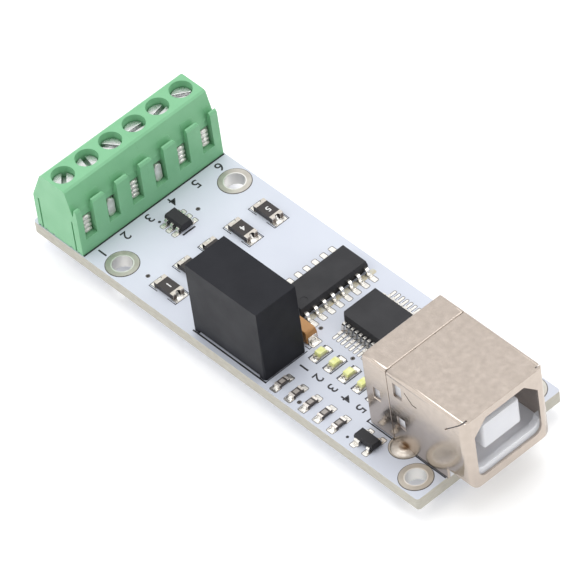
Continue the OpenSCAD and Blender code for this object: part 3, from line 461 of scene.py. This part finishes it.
def solder_slope(x, y, towards, length, width, height, steps=7):
    """Solder that rises from the pad at x, y against an end face that lies length further on."""
    along = Vector(towards).normalized()
    across = Vector((-along.y, along.x, 0))
    start = Vector((x * MM, y * MM, TOP))
    rows = []
    for row in range(steps + 1):
        share = row / steps
        lift = height * (1 - math.sqrt(max(0.0, 1 - share ** 2)))
        spread = width / 2 * (0.8 + 0.2 * math.sin(math.pi * min(1.0, share + 0.25)))
        line = []
        for column in range(steps + 1):
            side = 2 * column / steps - 1
            drop = 1 - side ** 4
            place = start + along * share * length * MM + across * side * spread * MM
            line.append(pad_bm.verts.new(place + Vector((0, 0, PAD + lift * drop * MM))))
        rows.append(line)
    floor = [[pad_bm.verts.new((v.co.x, v.co.y, TOP)) for v in line] for line in rows]
    for row in range(steps):
        for column in range(steps):
            upward = ((row, column), (row + 1, column), (row + 1, column + 1), (row, column + 1))
            downward = ((row, column), (row, column + 1), (row + 1, column + 1), (row + 1, column))
            pad_bm.faces.new([rows[r][c] for r, c in upward])
            pad_bm.faces.new([floor[r][c] for r, c in downward])
    rim = [(0, c) for c in range(steps)] + [(r, steps) for r in range(steps)]
    rim += [(steps, c) for c in range(steps, 0, -1)] + [(r, 0) for r in range(steps, 0, -1)]
    for (r0, c0), (r1, c1) in zip(rim, rim[1:] + rim[:1]):
        pad_bm.faces.new((rows[r0][c0], rows[r1][c1], floor[r1][c1], floor[r0][c0]))


def lead_pads(node, along_x, count, pitch, reach, length, width):
    """Pads under the two rows of leads of a chip, which reach out past the leads."""
    low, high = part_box(node)
    middle = (low + high) / 2 / MM
    for side in (-1, 1):
        for index in range(count):
            shift = (index - (count - 1) / 2) * pitch
            if along_x:
                edge = middle.y + side * (high.y - low.y) / 2 / MM
                pad(middle.x + shift, edge + side * (reach - length / 2), width, length)
            else:
                edge = middle.x + side * (high.x - low.x) / 2 / MM
                pad(edge + side * (reach - length / 2), middle.y + shift, length, width)


lead_pads("isolator_leads", False, count=8, pitch=ISOLATOR_PITCH, reach=0.8, length=1.6, width=0.6)
lead_pads("bridge_leads", True, count=14, pitch=0.65, reach=0.78, length=1.6, width=0.3)
lead_pads("buffer_leads", True, count=3, pitch=0.95, reach=0.3, length=0.95, width=0.6)
lead_pads("guard_leads", True, count=2, pitch=1.9, reach=0.3, length=0.9, width=0.7)


def near_and_far_pads(node, width, near_end, far_end):
    """Pads at a part's near and far ends, with a solder slope up each end that has one."""
    low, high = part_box(node)
    x = (low.x + high.x) / 2 / MM
    for side, end_y, (out, length, slope) in ((-1, low.y / MM, near_end), (1, high.y / MM, far_end)):
        pad(x, end_y + side * out, width, length)
        if slope:
            foot, slope_length, slope_width, height = slope
            solder_slope(x, end_y + side * foot, (0, -side, 0), slope_length, slope_width, height)


# An end says how far out its pad lies, how long the pad is, and where its slope starts, with the
# slope's length, width and height.
RESISTOR_PAD_WIDTH, LAMP_PAD_WIDTH = 0.95, 0.9
RESISTOR_NEAR, RESISTOR_FAR = (0.25, 0.95, (0.62, 0.6, 0.82, 0.36)), (0.2, 0.85, (0.5, 0.48, 0.82, 0.34))
LAMP_NEAR, LAMP_FAR = (0.28, 0.9, (0.56, 0.34, 0.7, 0.2)), (0.25, 0.85, None)
FUSE_PAD_OUT, FUSE_PAD_LENGTH, FUSE_PAD_WIDTH = 0.1, 1.0, 1.7
FUSE_FILLET, FUSE_NOTCH_RIDGE = (0.52, 0.5, 1.3, 0.16), (0.5, 0.78, 0.62, 0.74)
for index in range(1, 6):
    near_and_far_pads(f"resistor_{index}", RESISTOR_PAD_WIDTH, RESISTOR_NEAR, RESISTOR_FAR)
    near_and_far_pads(f"lamp_{index}", LAMP_PAD_WIDTH, LAMP_NEAR, LAMP_FAR)
    low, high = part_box(f"fuse_{index}")
    y = (low.y + high.y) / 2 / MM
    for x, inward in ((low.x / MM, 1), (high.x / MM, -1)):
        pad(x - inward * FUSE_PAD_OUT, y, FUSE_PAD_LENGTH, FUSE_PAD_WIDTH)
        for foot, length, width, height in (FUSE_FILLET, FUSE_NOTCH_RIDGE):
            solder_slope(x - inward * foot, y, (inward, 0, 0), length, width, height)
low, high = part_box("tantalum_terminals")
end_x, y = high.x / MM, (low.y + high.y) / 2 / MM
pad(end_x + 0.15, y, length=1.1, width=1.3)
solder_slope(end_x + 0.5, y, (-1, 0, 0), length=0.5, width=1.1, height=0.5)


def bare_ring(x, y, inner, outer, sides=48):
    """A flat ring of bare board, in millimetres."""
    corners = []
    for radius, height in ((inner, -BARE), (outer, -BARE), (outer, BARE), (inner, BARE)):
        corners.append([
            bare_bm.verts.new((
                (x + radius * math.cos(2 * math.pi * side / sides)) * MM,
                (y + radius * math.sin(2 * math.pi * side / sides)) * MM,
                TOP + height,
            ))
            for side in range(sides)
        ])
    for this, following in zip(corners, corners[1:] + corners[:1]):
        for side in range(sides):
            after = (side + 1) % sides
            bare_bm.faces.new((this[side], this[after], following[after], following[side]))


HOLES_X, HOLES_Y, MOUNT_RING_R = 23.5, 8.4, 1.9
TAB_X, SOCKET_Y, TAB_OUT, TAB_LINE_IN, TAB_LINE_OUT = 19.45, -0.4, 5.75, 1.76, 1.87
VIAS = ((-23.43, 2.8), (-20.02, -7.74), (0, -0.4), (5.88, -1.15), (6.25, -9.38))
VIA_LINE_IN, VIA_LINE_OUT = 0.12, 0.27
for x in (-HOLES_X, HOLES_X):
    for y in (-HOLES_Y, HOLES_Y):
        bare_ring(x, y, MOUNT_RING_R - 0.03, MOUNT_RING_R + 0.09)
for side in (-1, 1):
    bare_ring(TAB_X, SOCKET_Y + side * TAB_OUT, TAB_LINE_IN, TAB_LINE_OUT)
for x, y in VIAS:
    bare_ring(x, y, VIA_LINE_IN, VIA_LINE_OUT, sides=24)

bmesh.ops.recalc_face_normals(bare_bm, faces=bare_bm.faces)
shaded_bare_line_piece = new_piece("shaded_bare_lines", bare_bm)
# Painted shade: the bare lines are dark brown and grey. They are partly bare board and partly shade round the
# edges of the pads and rings.
SHADED_BARE_BROWN, SHADED_BARE_GREY = screen_colour(70, 66, 64), screen_colour(104, 100, 98)
shaded_bare_paint, tree, shader = new_material("shaded_bare_board", SHADED_BARE_BROWN, roughness=0.5)
dusty = two_colours(tree, ramp(tree, noise(tree, 0.3 * MM), 0.0, 1.0), SHADED_BARE_BROWN, SHADED_BARE_GREY)
tree.links.new(dusty, shader.inputs["Base Color"])
shaded_bare_line_piece.data.materials.append(shaded_bare_paint)
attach(shaded_bare_line_piece, "root")

bmesh.ops.recalc_face_normals(pad_bm, faces=pad_bm.faces)
pads = new_piece("pads_and_solder", pad_bm)
for face in pads.data.polygons:
    face.use_smooth = 0.05 < abs(face.normal.z) < 0.999


def bright_metal(name, light, dark, roughness, blotch, grain=0.004 * MM):
    """A plated or soldered metal with uneven gloss and a faint grain."""
    material, tree, shader = new_material(name, light, roughness, metallic=1.0)
    cloud = noise(tree, blotch, detail=4.0)
    tree.links.new(two_colours(tree, ramp(tree, cloud, 0.0, 1.0), light, dark), shader.inputs["Base Color"])
    tree.links.new(ramp(tree, cloud, roughness * 0.75, roughness * 1.35), shader.inputs["Roughness"])
    bumps(tree, shader, noise(tree, blotch / 3, detail=3.0), grain)
    return material


SOLDER_LIGHT, SOLDER_DARK = (0.84, 0.82, 0.78, 1), (0.68, 0.66, 0.62, 1)
solder_metal = bright_metal("bright_solder", SOLDER_LIGHT, SOLDER_DARK, 0.36, 0.5 * MM, 0.01 * MM)
pads.data.materials.append(solder_metal)
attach(pads, "root")


# Plated holes
# Copper rings, tinned, with a barrel through the board: four for the mounting screws and two
# for the socket's tabs. The lip of each mounting hole is lighter than the rest of the ring.
def distance_to(tree, vector, point):
    """How far a vector lies from a fixed point."""
    gap = tree.nodes.new("ShaderNodeVectorMath")
    gap.operation = "DISTANCE"
    gap.inputs[1].default_value = point
    tree.links.new(vector, gap.inputs[0])
    return gap.outputs["Value"]


RING_BEIGE, RING_DARK, LIP_LIGHT = (0.56, 0.535, 0.485, 1), (0.46, 0.435, 0.39, 1), (0.80, 0.79, 0.76, 1)
LIP_INNER, LIP_OUTER = 1.29 * MM, 1.37 * MM
tinned_ring, tree, shader = new_material("tinned_ring", RING_BEIGE, roughness=0.34, metallic=1.0)
blotched = two_colours(tree, ramp(tree, noise(tree, 1.2 * MM, detail=4.0), 0.0, 1.0), RING_BEIGE, RING_DARK)
one_corner = tree.nodes.new("ShaderNodeVectorMath")
one_corner.operation = "ABSOLUTE"
tree.links.new(object_point(tree, scale=(1.0, 1.0, 0.0)), one_corner.inputs[0])
from_hole = distance_to(tree, one_corner.outputs["Vector"], (HOLES_X * MM, HOLES_Y * MM, 0))
on_lip = ramp(tree, from_hole, 1.0, 0.0, from_low=LIP_INNER, from_high=LIP_OUTER)
tree.links.new(two_colours(tree, on_lip, blotched, LIP_LIGHT), shader.inputs["Base Color"])
bumps(tree, shader, noise(tree, 0.4 * MM, detail=3.0), 0.004 * MM)
dress(tinned_ring, "mount_rings", "tab_rings")


# Screw terminals
# Two three-way housings of green polyamide, moulded and pushed together, with a fine eroded
# grain from the mould. Each way holds a tinned clamp cage and a slotted screw.
def moulded_plastic(name, colour, deeper, roughness, grain=0.004 * MM, grain_size=0.12 * MM, sheen=0.5):
    """A moulded plastic with a slightly uneven colour and an eroded grain."""
    material, tree, shader = new_material(name, colour, roughness)
    shader.inputs["Specular IOR Level"].default_value = sheen
    cloud = noise(tree, 3 * MM, detail=3.0)
    clouded = two_colours(tree, ramp(tree, cloud, 0.0, 1.0), colour, deeper)
    tree.links.new(clouded, shader.inputs["Base Color"])
    tree.links.new(ramp(tree, cloud, roughness * 0.9, roughness * 1.1), shader.inputs["Roughness"])
    bumps(tree, shader, noise(tree, grain_size, detail=2.0), grain)
    return material


GREEN, GREEN_DEEPER = screen_colour(126, 188, 143), screen_colour(119, 182, 136)
terminal_green = moulded_plastic("terminal_green", GREEN, GREEN_DEEPER, 0.42)
GROOVE_END = 10.7
FIN_GROOVE = ((6.365, 7.3), (7.2, 7.3), (6.82, 5.72), (6.785, 5.75))
wire_side = housing_low.x / MM


def with_fins(node):
    """The housing with a groove behind the upper end of each pillar, which leaves it a thin fin."""
    groove_bm = bmesh.new()
    ends = []
    for y in (-GROOVE_END, GROOVE_END):
        ends.append([
            groove_bm.verts.new(((wire_side + x) * MM, y * MM, TOP + z * MM)) for x, z in FIN_GROOVE])
    groove_bm.faces.new(ends[0])
    groove_bm.faces.new(ends[1][::-1])
    for this in range(4):
        after = (this + 1) % 4
        groove_bm.faces.new((ends[0][this], ends[1][this], ends[1][after], ends[0][after]))
    bmesh.ops.recalc_face_normals(groove_bm, faces=groove_bm.faces)
    groove = new_piece("groove", groove_bm)
    housing = bpy.data.objects.new(node + "_moulding", nodes[node].data.copy())
    bpy.context.scene.collection.objects.link(housing)
    cut = housing.modifiers.new("groove", "BOOLEAN")
    cut.operation = "DIFFERENCE"
    cut.solver = "EXACT"
    cut.object = groove
    bpy.context.view_layer.update()
    grooved = housing.evaluated_get(bpy.context.evaluated_depsgraph_get())
    shaped = bpy.data.meshes.new_from_object(grooved)
    housing.modifiers.clear()
    housing.data = shaped
    bpy.data.objects.remove(groove)
    shaped.materials.clear()
    shaped.materials.append(terminal_green)
    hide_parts(node)
    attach(housing, "root")
    return housing


round_edges(0.15 * MM, with_fins("terminal_housing_near"), with_fins("terminal_housing_far"))
SCREW_LIGHT, SCREW_DARK = (0.80, 0.80, 0.80, 1), (0.60, 0.60, 0.61, 1)
screw_steel = bright_metal("screw_nickel", SCREW_LIGHT, SCREW_DARK, 0.28, 0.4 * MM, 0.008 * MM)
dress(screw_steel, "terminal_screws")
soften(0.06 * MM, "terminal_screws")
CLAMP_LIGHT, CLAMP_DARK = (0.80, 0.80, 0.76, 1), (0.66, 0.66, 0.62, 1)
clamp_tin = bright_metal("clamp_tin", CLAMP_LIGHT, CLAMP_DARK, 0.5, 0.6 * MM)
cages = [f"terminal_cage_{index}" for index in range(1, 7)]
dress(clamp_tin, "terminal_leaves", *cages)
soften(0.05 * MM, *cages)


# Clamp beads
# Four beads lie one over another in the front of each ribbed cage. They are pressed out of its
# tinned sheet to stiffen it.
RIBBED_CAGES = (1, 3, 5, 6)
BEADS, BEAD_PITCH, BEAD_FOOT, BEAD_SET_BACK = 4, 0.6375, 2.05, 0.27
BEAD_DEPTH, BEAD_LENGTH, BEAD_HEIGHT = 0.29, 0.56, 0.36
bead_bm = bmesh.new()
for index in RIBBED_CAGES:
    low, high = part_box(f"terminal_cage_{index}")
    for bead in range(BEADS):
        ball = bmesh.ops.create_uvsphere(bead_bm, u_segments=20, v_segments=12, radius=1.0)["verts"]
        for vertex in ball:
            length, across = vertex.co.y, math.hypot(vertex.co.x, vertex.co.z)
            fuller = (1 - abs(length) ** 3) ** 0.5 / across if across > 1e-6 else 0.0
            vertex.co = Vector((
                vertex.co.x * fuller * BEAD_DEPTH,
                length * BEAD_LENGTH,
                vertex.co.z * fuller * BEAD_HEIGHT,
            )) * MM
        bead_z = TOP + (BEAD_FOOT + (bead + 0.5) * BEAD_PITCH) * MM
        middle = Vector((high.x - BEAD_SET_BACK * MM, (low.y + high.y) / 2, bead_z))
        bmesh.ops.translate(bead_bm, verts=ball, vec=middle)
beads = new_piece("clamp_beads", bead_bm)
for face in beads.data.polygons:
    face.use_smooth = True
beads.data.materials.append(clamp_tin)
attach(beads, "root")


# Chip fuses
# Five flat resettable fuses in a row: a black-brown coated sheet between half-round notched
# tinned ends, with a small brown plate beside each notch. Each has a plain white number.
COAT, COAT_DEEPER = screen_colour(52, 46, 45), screen_colour(40, 34, 34)
fuse_coat = moulded_plastic("fuse_coat", COAT, COAT_DEEPER, 0.38)
dress(fuse_coat, *[f"fuse_{index}" for index in range(1, 6)])
cap_tin = bright_metal("cap_tin", (0.66, 0.62, 0.57, 1), (0.52, 0.48, 0.43, 1), 0.36, 0.5 * MM)
dress(cap_tin, "fuse_caps")
soften(0.03 * MM, "fuse_caps")

END_PLATE_SIZE = Vector((0.03, 0.36, 0.5)) * MM
PLATE_OUT, PLATE_SIDE, PLATE_UP = 0.055 * MM, 0.56 * MM, 0.3 * MM
end_bm = bmesh.new()
for index in range(1, 6):
    low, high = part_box(f"fuse_{index}")
    for end_x in (low.x - PLATE_OUT, high.x + PLATE_OUT):
        for side in (-1, 1):
            plate = bmesh.ops.create_cube(end_bm, size=1.0)["verts"]
            bmesh.ops.scale(end_bm, vec=END_PLATE_SIZE, verts=plate)
            place = Vector((end_x, (low.y + high.y) / 2 + side * PLATE_SIDE, low.z + PLATE_UP))
            bmesh.ops.translate(end_bm, vec=place, verts=plate)
fuse_ends = new_piece("fuse_ends", end_bm)
END_BROWN, END_DEEPER = screen_colour(108, 92, 84), screen_colour(84, 70, 64)
end_brown = moulded_plastic("fuse_end_brown", END_BROWN, END_DEEPER, 0.4)
fuse_ends.data.materials.append(end_brown)
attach(fuse_ends, "root")

FUSE_NUMBER_HEIGHT = 0.8
white_ink, _, _ = new_material("white_ink", screen_colour(226, 226, 226), roughness=0.5)
for index in range(1, 6):
    low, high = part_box(f"fuse_{index}")
    middle = (low + high) / 2 / MM
    printed_number(
        f"fuse_number_{index}", str(index), middle.x, middle.y, FUSE_NUMBER_HEIGHT, white_ink, z=high.z)


# Converter
# A sealed isolated converter in a smooth black moulded cup, turned over on its four pins and
# filled with grey resin at its foot.
CASE_BLACK, CASE_DEEPER = screen_colour(40, 41, 46), screen_colour(35, 36, 41)
case_black = moulded_plastic("case_black", CASE_BLACK, CASE_DEEPER, 0.42, 0.006 * MM, 0.2 * MM, sheen=0.12)
dress(case_black, "converter_case")
soften(0.22 * MM, "converter_case")
RESIN, RESIN_DEEPER = screen_colour(120, 120, 122), screen_colour(96, 96, 98)
resin_grey = moulded_plastic("resin_grey", RESIN, RESIN_DEEPER, 0.5)
dress(resin_grey, "converter_potting")


# Chips
# Transfer-moulded epoxy bodies with a matt face, on stamped and formed leads, tinned and
# soldered flat on the pads.
EPOXY, EPOXY_DEEPER = screen_colour(48, 48, 51), screen_colour(42, 42, 45)
chip_epoxy = moulded_plastic("chip_epoxy", EPOXY, EPOXY_DEEPER, 0.55, 0.008 * MM, 0.09 * MM, sheen=0.3)
dress(chip_epoxy, "isolator_body", "bridge_body", "buffer_body", "guard_body")
soften(0.05 * MM, "isolator_body", "bridge_body")
soften(0.04 * MM, "buffer_body", "guard_body")
lead_tin = bright_metal("lead_tin", (0.86, 0.84, 0.80, 1), (0.70, 0.67, 0.62, 1), 0.22, 0.4 * MM)
dress(lead_tin, "isolator_leads", "bridge_leads", "buffer_leads", "guard_leads", "converter_pins")
soften(0.03 * MM, "isolator_leads")
soften(0.02 * MM, "bridge_leads", "buffer_leads", "guard_leads")


# Tantalum capacitor
# A moulded block of tan epoxy round the pressed anode, with a bevelled positive end and two
# terminals folded under it.
TAN, TAN_DEEPER = screen_colour(190, 140, 84), screen_colour(172, 122, 70)
tantalum_tan = moulded_plastic("tantalum_tan", TAN, TAN_DEEPER, 0.5, 0.01 * MM, 0.15 * MM)
dress(tantalum_tan, "tantalum_body")
soften(0.05 * MM, "tantalum_body")
dress(lead_tin, "tantalum_terminals")
soften(0.03 * MM, "tantalum_terminals")


# Indicator lamps
# A clear yellow-green resin lens, moulded over the die on a small white base. The base stands
# with its tinned ends on the pads.
LENS_PALE, LENS_LIME = screen_colour(244, 246, 186), screen_colour(230, 234, 144)
lens_resin, tree, shader = new_material("lens_resin", LENS_PALE, roughness=0.2)
lit = two_colours(tree, ramp(tree, noise(tree, 0.5 * MM), 0.0, 1.0), LENS_PALE, LENS_LIME)
tree.links.new(lit, shader.inputs["Base Color"])
lenses = [f"lamp_{index}" for index in range(1, 6)]
dress(lens_resin, *lenses)
soften(0.05 * MM, *lenses)
BASE_CREAM, BASE_DEEPER = screen_colour(214, 210, 190), screen_colour(198, 192, 168)
lamp_base = moulded_plastic("lamp_base", BASE_CREAM, BASE_DEEPER, 0.4)
dress(lamp_base, "lamp_bases")


# Chip resistors
# Ceramic bodies, tinned at both ends. Their faces are dark glaze at the rims and paler in the
# middle.
GLAZE_DARK, MIDDLE_PALE = screen_colour(72, 66, 63), screen_colour(168, 162, 157)
PALE_REACH, PALE_BLUR = (("X", 0.34), ("Y", 0.2)), 0.03
resistor_glaze, tree, shader = new_material("resistor_glaze", GLAZE_DARK, roughness=0.3)
part_point = tree.nodes.new("ShaderNodeTexCoord")
directions = tree.nodes.new("ShaderNodeSeparateXYZ")
tree.links.new(part_point.outputs["Generated"], directions.inputs["Vector"])
in_pale_middle = tree.nodes.new("ShaderNodeMath")
in_pale_middle.operation = "MULTIPLY"
for socket, (axis, reach) in enumerate(PALE_REACH):
    off_middle = tree.nodes.new("ShaderNodeMath")
    off_middle.operation = "SUBTRACT"
    off_middle.inputs[1].default_value = 0.5
    tree.links.new(directions.outputs[axis], off_middle.inputs[0])
    distance = tree.nodes.new("ShaderNodeMath")
    distance.operation = "ABSOLUTE"
    tree.links.new(off_middle.outputs["Value"], distance.inputs[0])
    inside = ramp(tree, distance.outputs["Value"], 1.0, 0.0, reach - PALE_BLUR, reach + PALE_BLUR)
    tree.links.new(inside, in_pale_middle.inputs[socket])
pale_middle = two_colours(tree, in_pale_middle.outputs["Value"], GLAZE_DARK, MIDDLE_PALE)
tree.links.new(pale_middle, shader.inputs["Base Color"])
bumps(tree, shader, noise(tree, 0.12 * MM), 0.004 * MM)
dress(resistor_glaze, *[f"resistor_{index}" for index in range(1, 6)])
resistor_tin = bright_metal("resistor_tin", (0.84, 0.80, 0.76, 1), (0.72, 0.68, 0.64, 1), 0.48, 0.4 * MM)
dress(resistor_tin, "resistor_caps")
soften(0.03 * MM, "resistor_caps")


# Data socket
# A drawn and folded shell of nickel-plated sheet with a separate rear cover, round a white
# moulded insert whose tongue carries four gold contacts. Two tabs are soldered in the board.
STAIN_PLACE = (19.75 * MM, -6.35 * MM, 2.2 * MM)
STAIN_BROWN, STAIN_SHARE = (0.20, 0.115, 0.05, 1), 0.85


def stained(tree, plain, inner, outer):
    """A colour with a brown stain of burnt flux where the near tab meets its solder."""
    from_stain = distance_to(tree, object_point(tree), STAIN_PLACE)
    return two_colours(tree, ramp(tree, from_stain, STAIN_SHARE, 0.0, inner, outer), plain, STAIN_BROWN)


SHELL_LIGHT, SHELL_DARK = (0.545, 0.475, 0.42, 1), (0.50, 0.435, 0.38, 1)
shell_nickel, tree, shader = new_material("shell_nickel", SHELL_LIGHT, roughness=0.2, metallic=1.0)
cloud = ramp(tree, noise(tree, 0.9 * MM, detail=6.0), 0.0, 1.0)
plain_shell = two_colours(tree, cloud, SHELL_LIGHT, SHELL_DARK)
tree.links.new(stained(tree, plain_shell, 0.35 * MM, 0.8 * MM), shader.inputs["Base Color"])
tree.links.new(ramp(tree, noise(tree, 0.7 * MM, detail=4.0), 0.15, 0.26), shader.inputs["Roughness"])
bumps(tree, shader, noise(tree, 0.5 * MM, detail=4.0), 0.006 * MM)
dress(shell_nickel, "socket_shell", "socket_rear_cover")
soften(0.13 * MM, "socket_shell", "socket_rear_cover")

# The insert's plastic lets light through, so it scatters light. Its faint glow is painted light: an emission
# that brightens its shaded tongue and floor.
INSERT_WHITE, INSERT_DEEPER = screen_colour(214, 215, 219), screen_colour(208, 209, 214)
INSERT_PAINTED_GLOW = (0.9, 0.92, 1.0, 1)
insert_white = moulded_plastic("insert_white", INSERT_WHITE, INSERT_DEEPER, 0.4)
shader = insert_white.node_tree.nodes["Principled BSDF"]
shader.inputs["Subsurface Weight"].default_value = 0.6
shader.inputs["Subsurface Radius"].default_value = (1.0, 1.0, 1.0)
shader.inputs["Subsurface Scale"].default_value = 3 * MM
# Painted light: a faint emission that lifts the insert's faces out of the shade in the mouth.
shader.inputs["Emission Color"].default_value = INSERT_PAINTED_GLOW
shader.inputs["Emission Strength"].default_value = 0.09
dress(insert_white, "socket_insert")
soften(0.1 * MM, "socket_insert")
contact_gold = bright_metal("contact_gold", (0.90, 0.68, 0.30, 1), (0.80, 0.58, 0.24, 1), 0.2, 0.5 * MM)
dress(contact_gold, "socket_contacts")


# Cover seam and its painted shadow
# The rear cover butts against the shell. The dark strip sunk just below the top face in the
# seam is painted shadow, which stands for the shade in the gap.
SHELL_OUT = 5.9
SEAM_W, SEAM_LAP, SEAM_SUNK, SHEET, SEAM_END = 0.12, 0.06, 0.02, 0.3, 0.9
SEAM_LENGTHS = ((-SHELL_OUT + SEAM_END, -1.4), (-1.5, 1.5), (1.4, SHELL_OUT - SEAM_END))
cover_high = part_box("socket_rear_cover")[1]
seam_shadow_bm = bmesh.new()
for y0, y1 in SEAM_LENGTHS:
    length = bmesh.ops.create_cube(seam_shadow_bm, size=1.0)["verts"]
    size = Vector((SEAM_W + SEAM_LAP, y1 - y0, SHEET - SEAM_SUNK)) * MM
    bmesh.ops.scale(seam_shadow_bm, vec=size, verts=length)
    place = Vector((
        cover_high.x + SEAM_W / 2 * MM,
        (SOCKET_Y + (y0 + y1) / 2) * MM,
        cover_high.z - (SHEET + SEAM_SUNK) / 2 * MM,
    ))
    bmesh.ops.translate(seam_shadow_bm, vec=place, verts=length)
seam_shadow_strip = new_piece("seam_shadow_strip", seam_shadow_bm)
# Painted shadow: a dark brown metal for the shade in the seam.
seam_shadow_metal = bright_metal("seam_shadow_metal", (0.30, 0.25, 0.21, 1), (0.24, 0.20, 0.165, 1), 0.4, 0.5 * MM)
seam_shadow_strip.data.materials.append(seam_shadow_metal)
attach(seam_shadow_strip, "root")


# Solder on the tabs
# A low rippled dome of solder on the ring of each tab, wetted against the shell's side, with the
# flux burnt brown beside the near tab.
DOME_R, DOME_H, DOME_RINGS, DOME_SIDES = 1.66, 0.32, 22, 56
DOME_UP, RIPPLE_HEIGHT, RIPPLE_TURNS, UNDER_SHELL = 0.04, 0.022, 17, 0.04
dome_bm = bmesh.new()
for side in (-1, 1):
    rings = []
    for ring in range(1, DOME_RINGS + 1):
        share = ring / DOME_RINGS
        ripple = RIPPLE_HEIGHT * math.sin(share * RIPPLE_TURNS) * (1 - share)
        height = (DOME_H * (1 - share ** 2) ** 0.8 + ripple) * MM
        rings.append([
            dome_bm.verts.new((
                (TAB_X + DOME_R * share * math.cos(2 * math.pi * step / DOME_SIDES)) * MM,
                (SOCKET_Y + side * TAB_OUT + DOME_R * share * math.sin(2 * math.pi * step / DOME_SIDES)) * MM,
                TOP + DOME_UP * MM + height,
            ))
            for step in range(DOME_SIDES)
        ])
    rings.append([dome_bm.verts.new((v.co.x, v.co.y, TOP)) for v in rings[-1]])
    dome_bm.faces.new(rings[0])
    for inner, outer in zip(rings, rings[1:]):
        for step in range(DOME_SIDES):
            after = (step + 1) % DOME_SIDES
            dome_bm.faces.new((inner[step], inner[after], outer[after], outer[step]))
    dome_bm.faces.new(rings[-1][::-1])
bmesh.ops.recalc_face_normals(dome_bm, faces=dome_bm.faces)
for side in (-1, 1):
    shell_side = Vector((0, (SOCKET_Y + side * (SHELL_OUT - UNDER_SHELL)) * MM, 0))
    verts = [v for v in dome_bm.verts if side * (v.co.y - SOCKET_Y * MM) > 0]
    edges = [e for e in dome_bm.edges if e.verts[0] in verts]
    faces = [f for f in dome_bm.faces if f.verts[0] in verts]
    bmesh.ops.bisect_plane(
        dome_bm, geom=verts + edges + faces, plane_co=shell_side, plane_no=(0, -side, 0), clear_outer=True)
bmesh.ops.holes_fill(dome_bm, edges=[e for e in dome_bm.edges if len(e.link_faces) == 1])
bmesh.ops.recalc_face_normals(dome_bm, faces=dome_bm.faces)
domes = new_piece("tab_solder_domes", dome_bm)
for face in domes.data.polygons:
    face.use_smooth = abs(face.normal.y) < 0.98
DOME_SILVER, DOME_ROSE = (0.60, 0.56, 0.51, 1), (0.46, 0.41, 0.36, 1)
dome_solder, tree, shader = new_material("dome_solder", DOME_SILVER, roughness=0.34, metallic=1.0)
streaks = two_colours(tree, ramp(tree, noise(tree, 0.5 * MM, detail=4.0), 0.0, 1.0), DOME_SILVER, DOME_ROSE)
tree.links.new(stained(tree, streaks, 0.3 * MM, 0.8 * MM), shader.inputs["Base Color"])
bumps(tree, shader, noise(tree, 0.6 * MM, detail=3.0), 0.03 * MM)
domes.data.materials.append(dome_solder)
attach(domes, "root")
dress(solder_metal, "tab_solder")


# Solder under the board
# Bright cones on the underside, drawn up round each pin of the terminals, the converter and the
# socket by the solder wave.
dress(solder_metal, "pin_solder")
